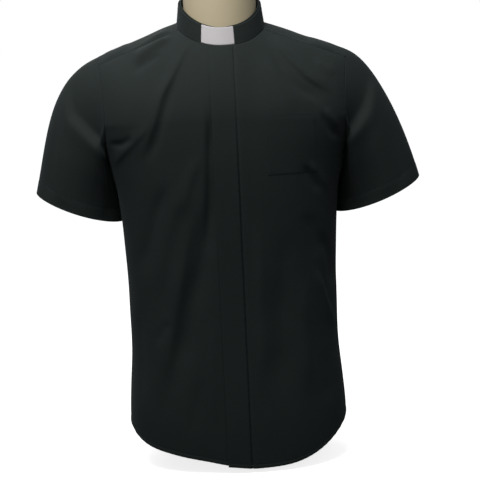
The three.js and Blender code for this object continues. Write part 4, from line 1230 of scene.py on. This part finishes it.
def stitching_tree():
    made = bpy.data.node_groups.new("lockstitch_rows", "GeometryNodeTree")
    face = made.interface
    face.new_socket("Rows", in_out="INPUT", socket_type="NodeSocketGeometry")
    sizes = {}
    for name in ("Pitch", "Length", "Thickness"):
        sizes[name] = face.new_socket(name, in_out="INPUT", socket_type="NodeSocketFloat").identifier
    sizes["Thread"] = face.new_socket("Thread", in_out="INPUT", socket_type="NodeSocketMaterial").identifier
    face.new_socket("Stitches", in_out="OUTPUT", socket_type="NodeSocketGeometry")
    given = node(made, "NodeGroupInput").outputs
    curve = node(made, "GeometryNodeMeshToCurve", {"Mesh": given["Rows"]})
    spacing = {"Curve": curve.outputs[0], "Length": given["Pitch"]}
    spaced = node(made, "GeometryNodeResampleCurve", spacing, mode="LENGTH")
    bead = node(made, "GeometryNodeMeshUVSphere", {"Segments": 6, "Rings": 4, "Radius": 0.5})
    bead_size = {"X": given["Thickness"], "Y": given["Thickness"], "Z": given["Length"]}
    shaping = {"Geometry": bead.outputs["Mesh"]}
    shaping["Scale"] = node(made, "ShaderNodeCombineXYZ", bead_size).outputs[0]
    stitch = node(made, "GeometryNodeTransform", shaping)
    tangent = node(made, "GeometryNodeInputTangent")
    along = node(made, "FunctionNodeAlignRotationToVector", {"Vector": tangent.outputs[0]}, axis="Z")
    laying = {"Points": spaced.outputs[0], "Instance": stitch.outputs[0], "Rotation": along.outputs[0]}
    laid = node(made, "GeometryNodeInstanceOnPoints", laying)
    real = node(made, "GeometryNodeRealizeInstances", {"Geometry": laid.outputs[0]})
    colouring = {"Geometry": real.outputs[0], "Material": given["Thread"]}
    thread_set = node(made, "GeometryNodeSetMaterial", colouring)
    node(made, "NodeGroupOutput", {"Stitches": thread_set.outputs[0]})
    return made, sizes


rows = []


def rows_round(grid, foot, top, side, row_end, column_end):
    """Rows at two heights of a grid and beside both its ends, each stopped short of its ends."""
    low, _, first, last = edge_distances(grid)
    for height in (foot, top):
        rows.append(trimmed(stitch_row(grid, low, height), row_end))
    for distance in (first, last):
        rows.append(trimmed(stitch_column(grid, distance, side), column_end))


for grid in (right_grid, left_grid, band_grid, back_grid):
    rows.append(stitch_row(grid, edge_distances(grid)[0], HEM_DEPTH))
for grid in (sleeve_right, sleeve_left):
    rows.append(stitch_row(grid, edge_distances(wrapped(grid))[0][:, :-1], CUFF_HEM, closed=True))
rows.append(stitch_column(band_grid, edge_distances(band_grid)[3], BAND_ROW))
low, _, first, last = edge_distances(yoke_grid)
arm_columns = 2 * YOKE_ARM_STEPS
rows.append(stitch_row(yoke_grid, low, YOKE_ROW)[arm_columns:-arm_columns])
rows.append(stitch_column(yoke_grid, first, YOKE_ROW))
rows.append(stitch_column(yoke_grid, last, YOKE_ROW))
pocket_height = edge_distances(pocket_grid)[0][-1].mean()
rows_round(pocket_grid, POCKET_ROW, pocket_height - POCKET_HEM, POCKET_ROW, POCKET_ROW, POCKET_ROW)
stand_height = edge_distances(stand_grid)[0][-1].min()
rows_round(stand_grid, STAND_FOOT_ROW, stand_height - STAND_ROW, STAND_ROW, STAND_ROW, STAND_FOOT_ROW)

points, edges = [], []
for row in rows:
    edges += [(len(points) + k, len(points) + k + 1) for k in range(len(row) - 1)]
    points += (row * MM).tolist()
row_mesh = bpy.data.meshes.new("stitch_rows")
row_mesh.from_pydata(points, edges, [])
row_lines = placed(row_mesh, "stitch_rows")
stitches, inputs = stitching_tree()
sewing = row_lines.modifiers.new("lockstitch", "NODES")
sewing.node_group = stitches
sewing[inputs["Pitch"]] = STITCH_PITCH * MM
sewing[inputs["Length"]] = STITCH_LENGTH * MM
sewing[inputs["Thickness"]] = THREAD_THICKNESS * MM
sewing[inputs["Thread"]] = thread
bpy.context.view_layer.update()
worked_out = bpy.context.evaluated_depsgraph_get()
sewn_mesh = bpy.data.meshes.new_from_object(row_lines.evaluated_get(worked_out))
row_lines.modifiers.remove(sewing)
bpy.data.objects.remove(row_lines)
sewn_mesh.shade_smooth()
stitching = placed(sewn_mesh, "stitching")
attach(stitching, "root")
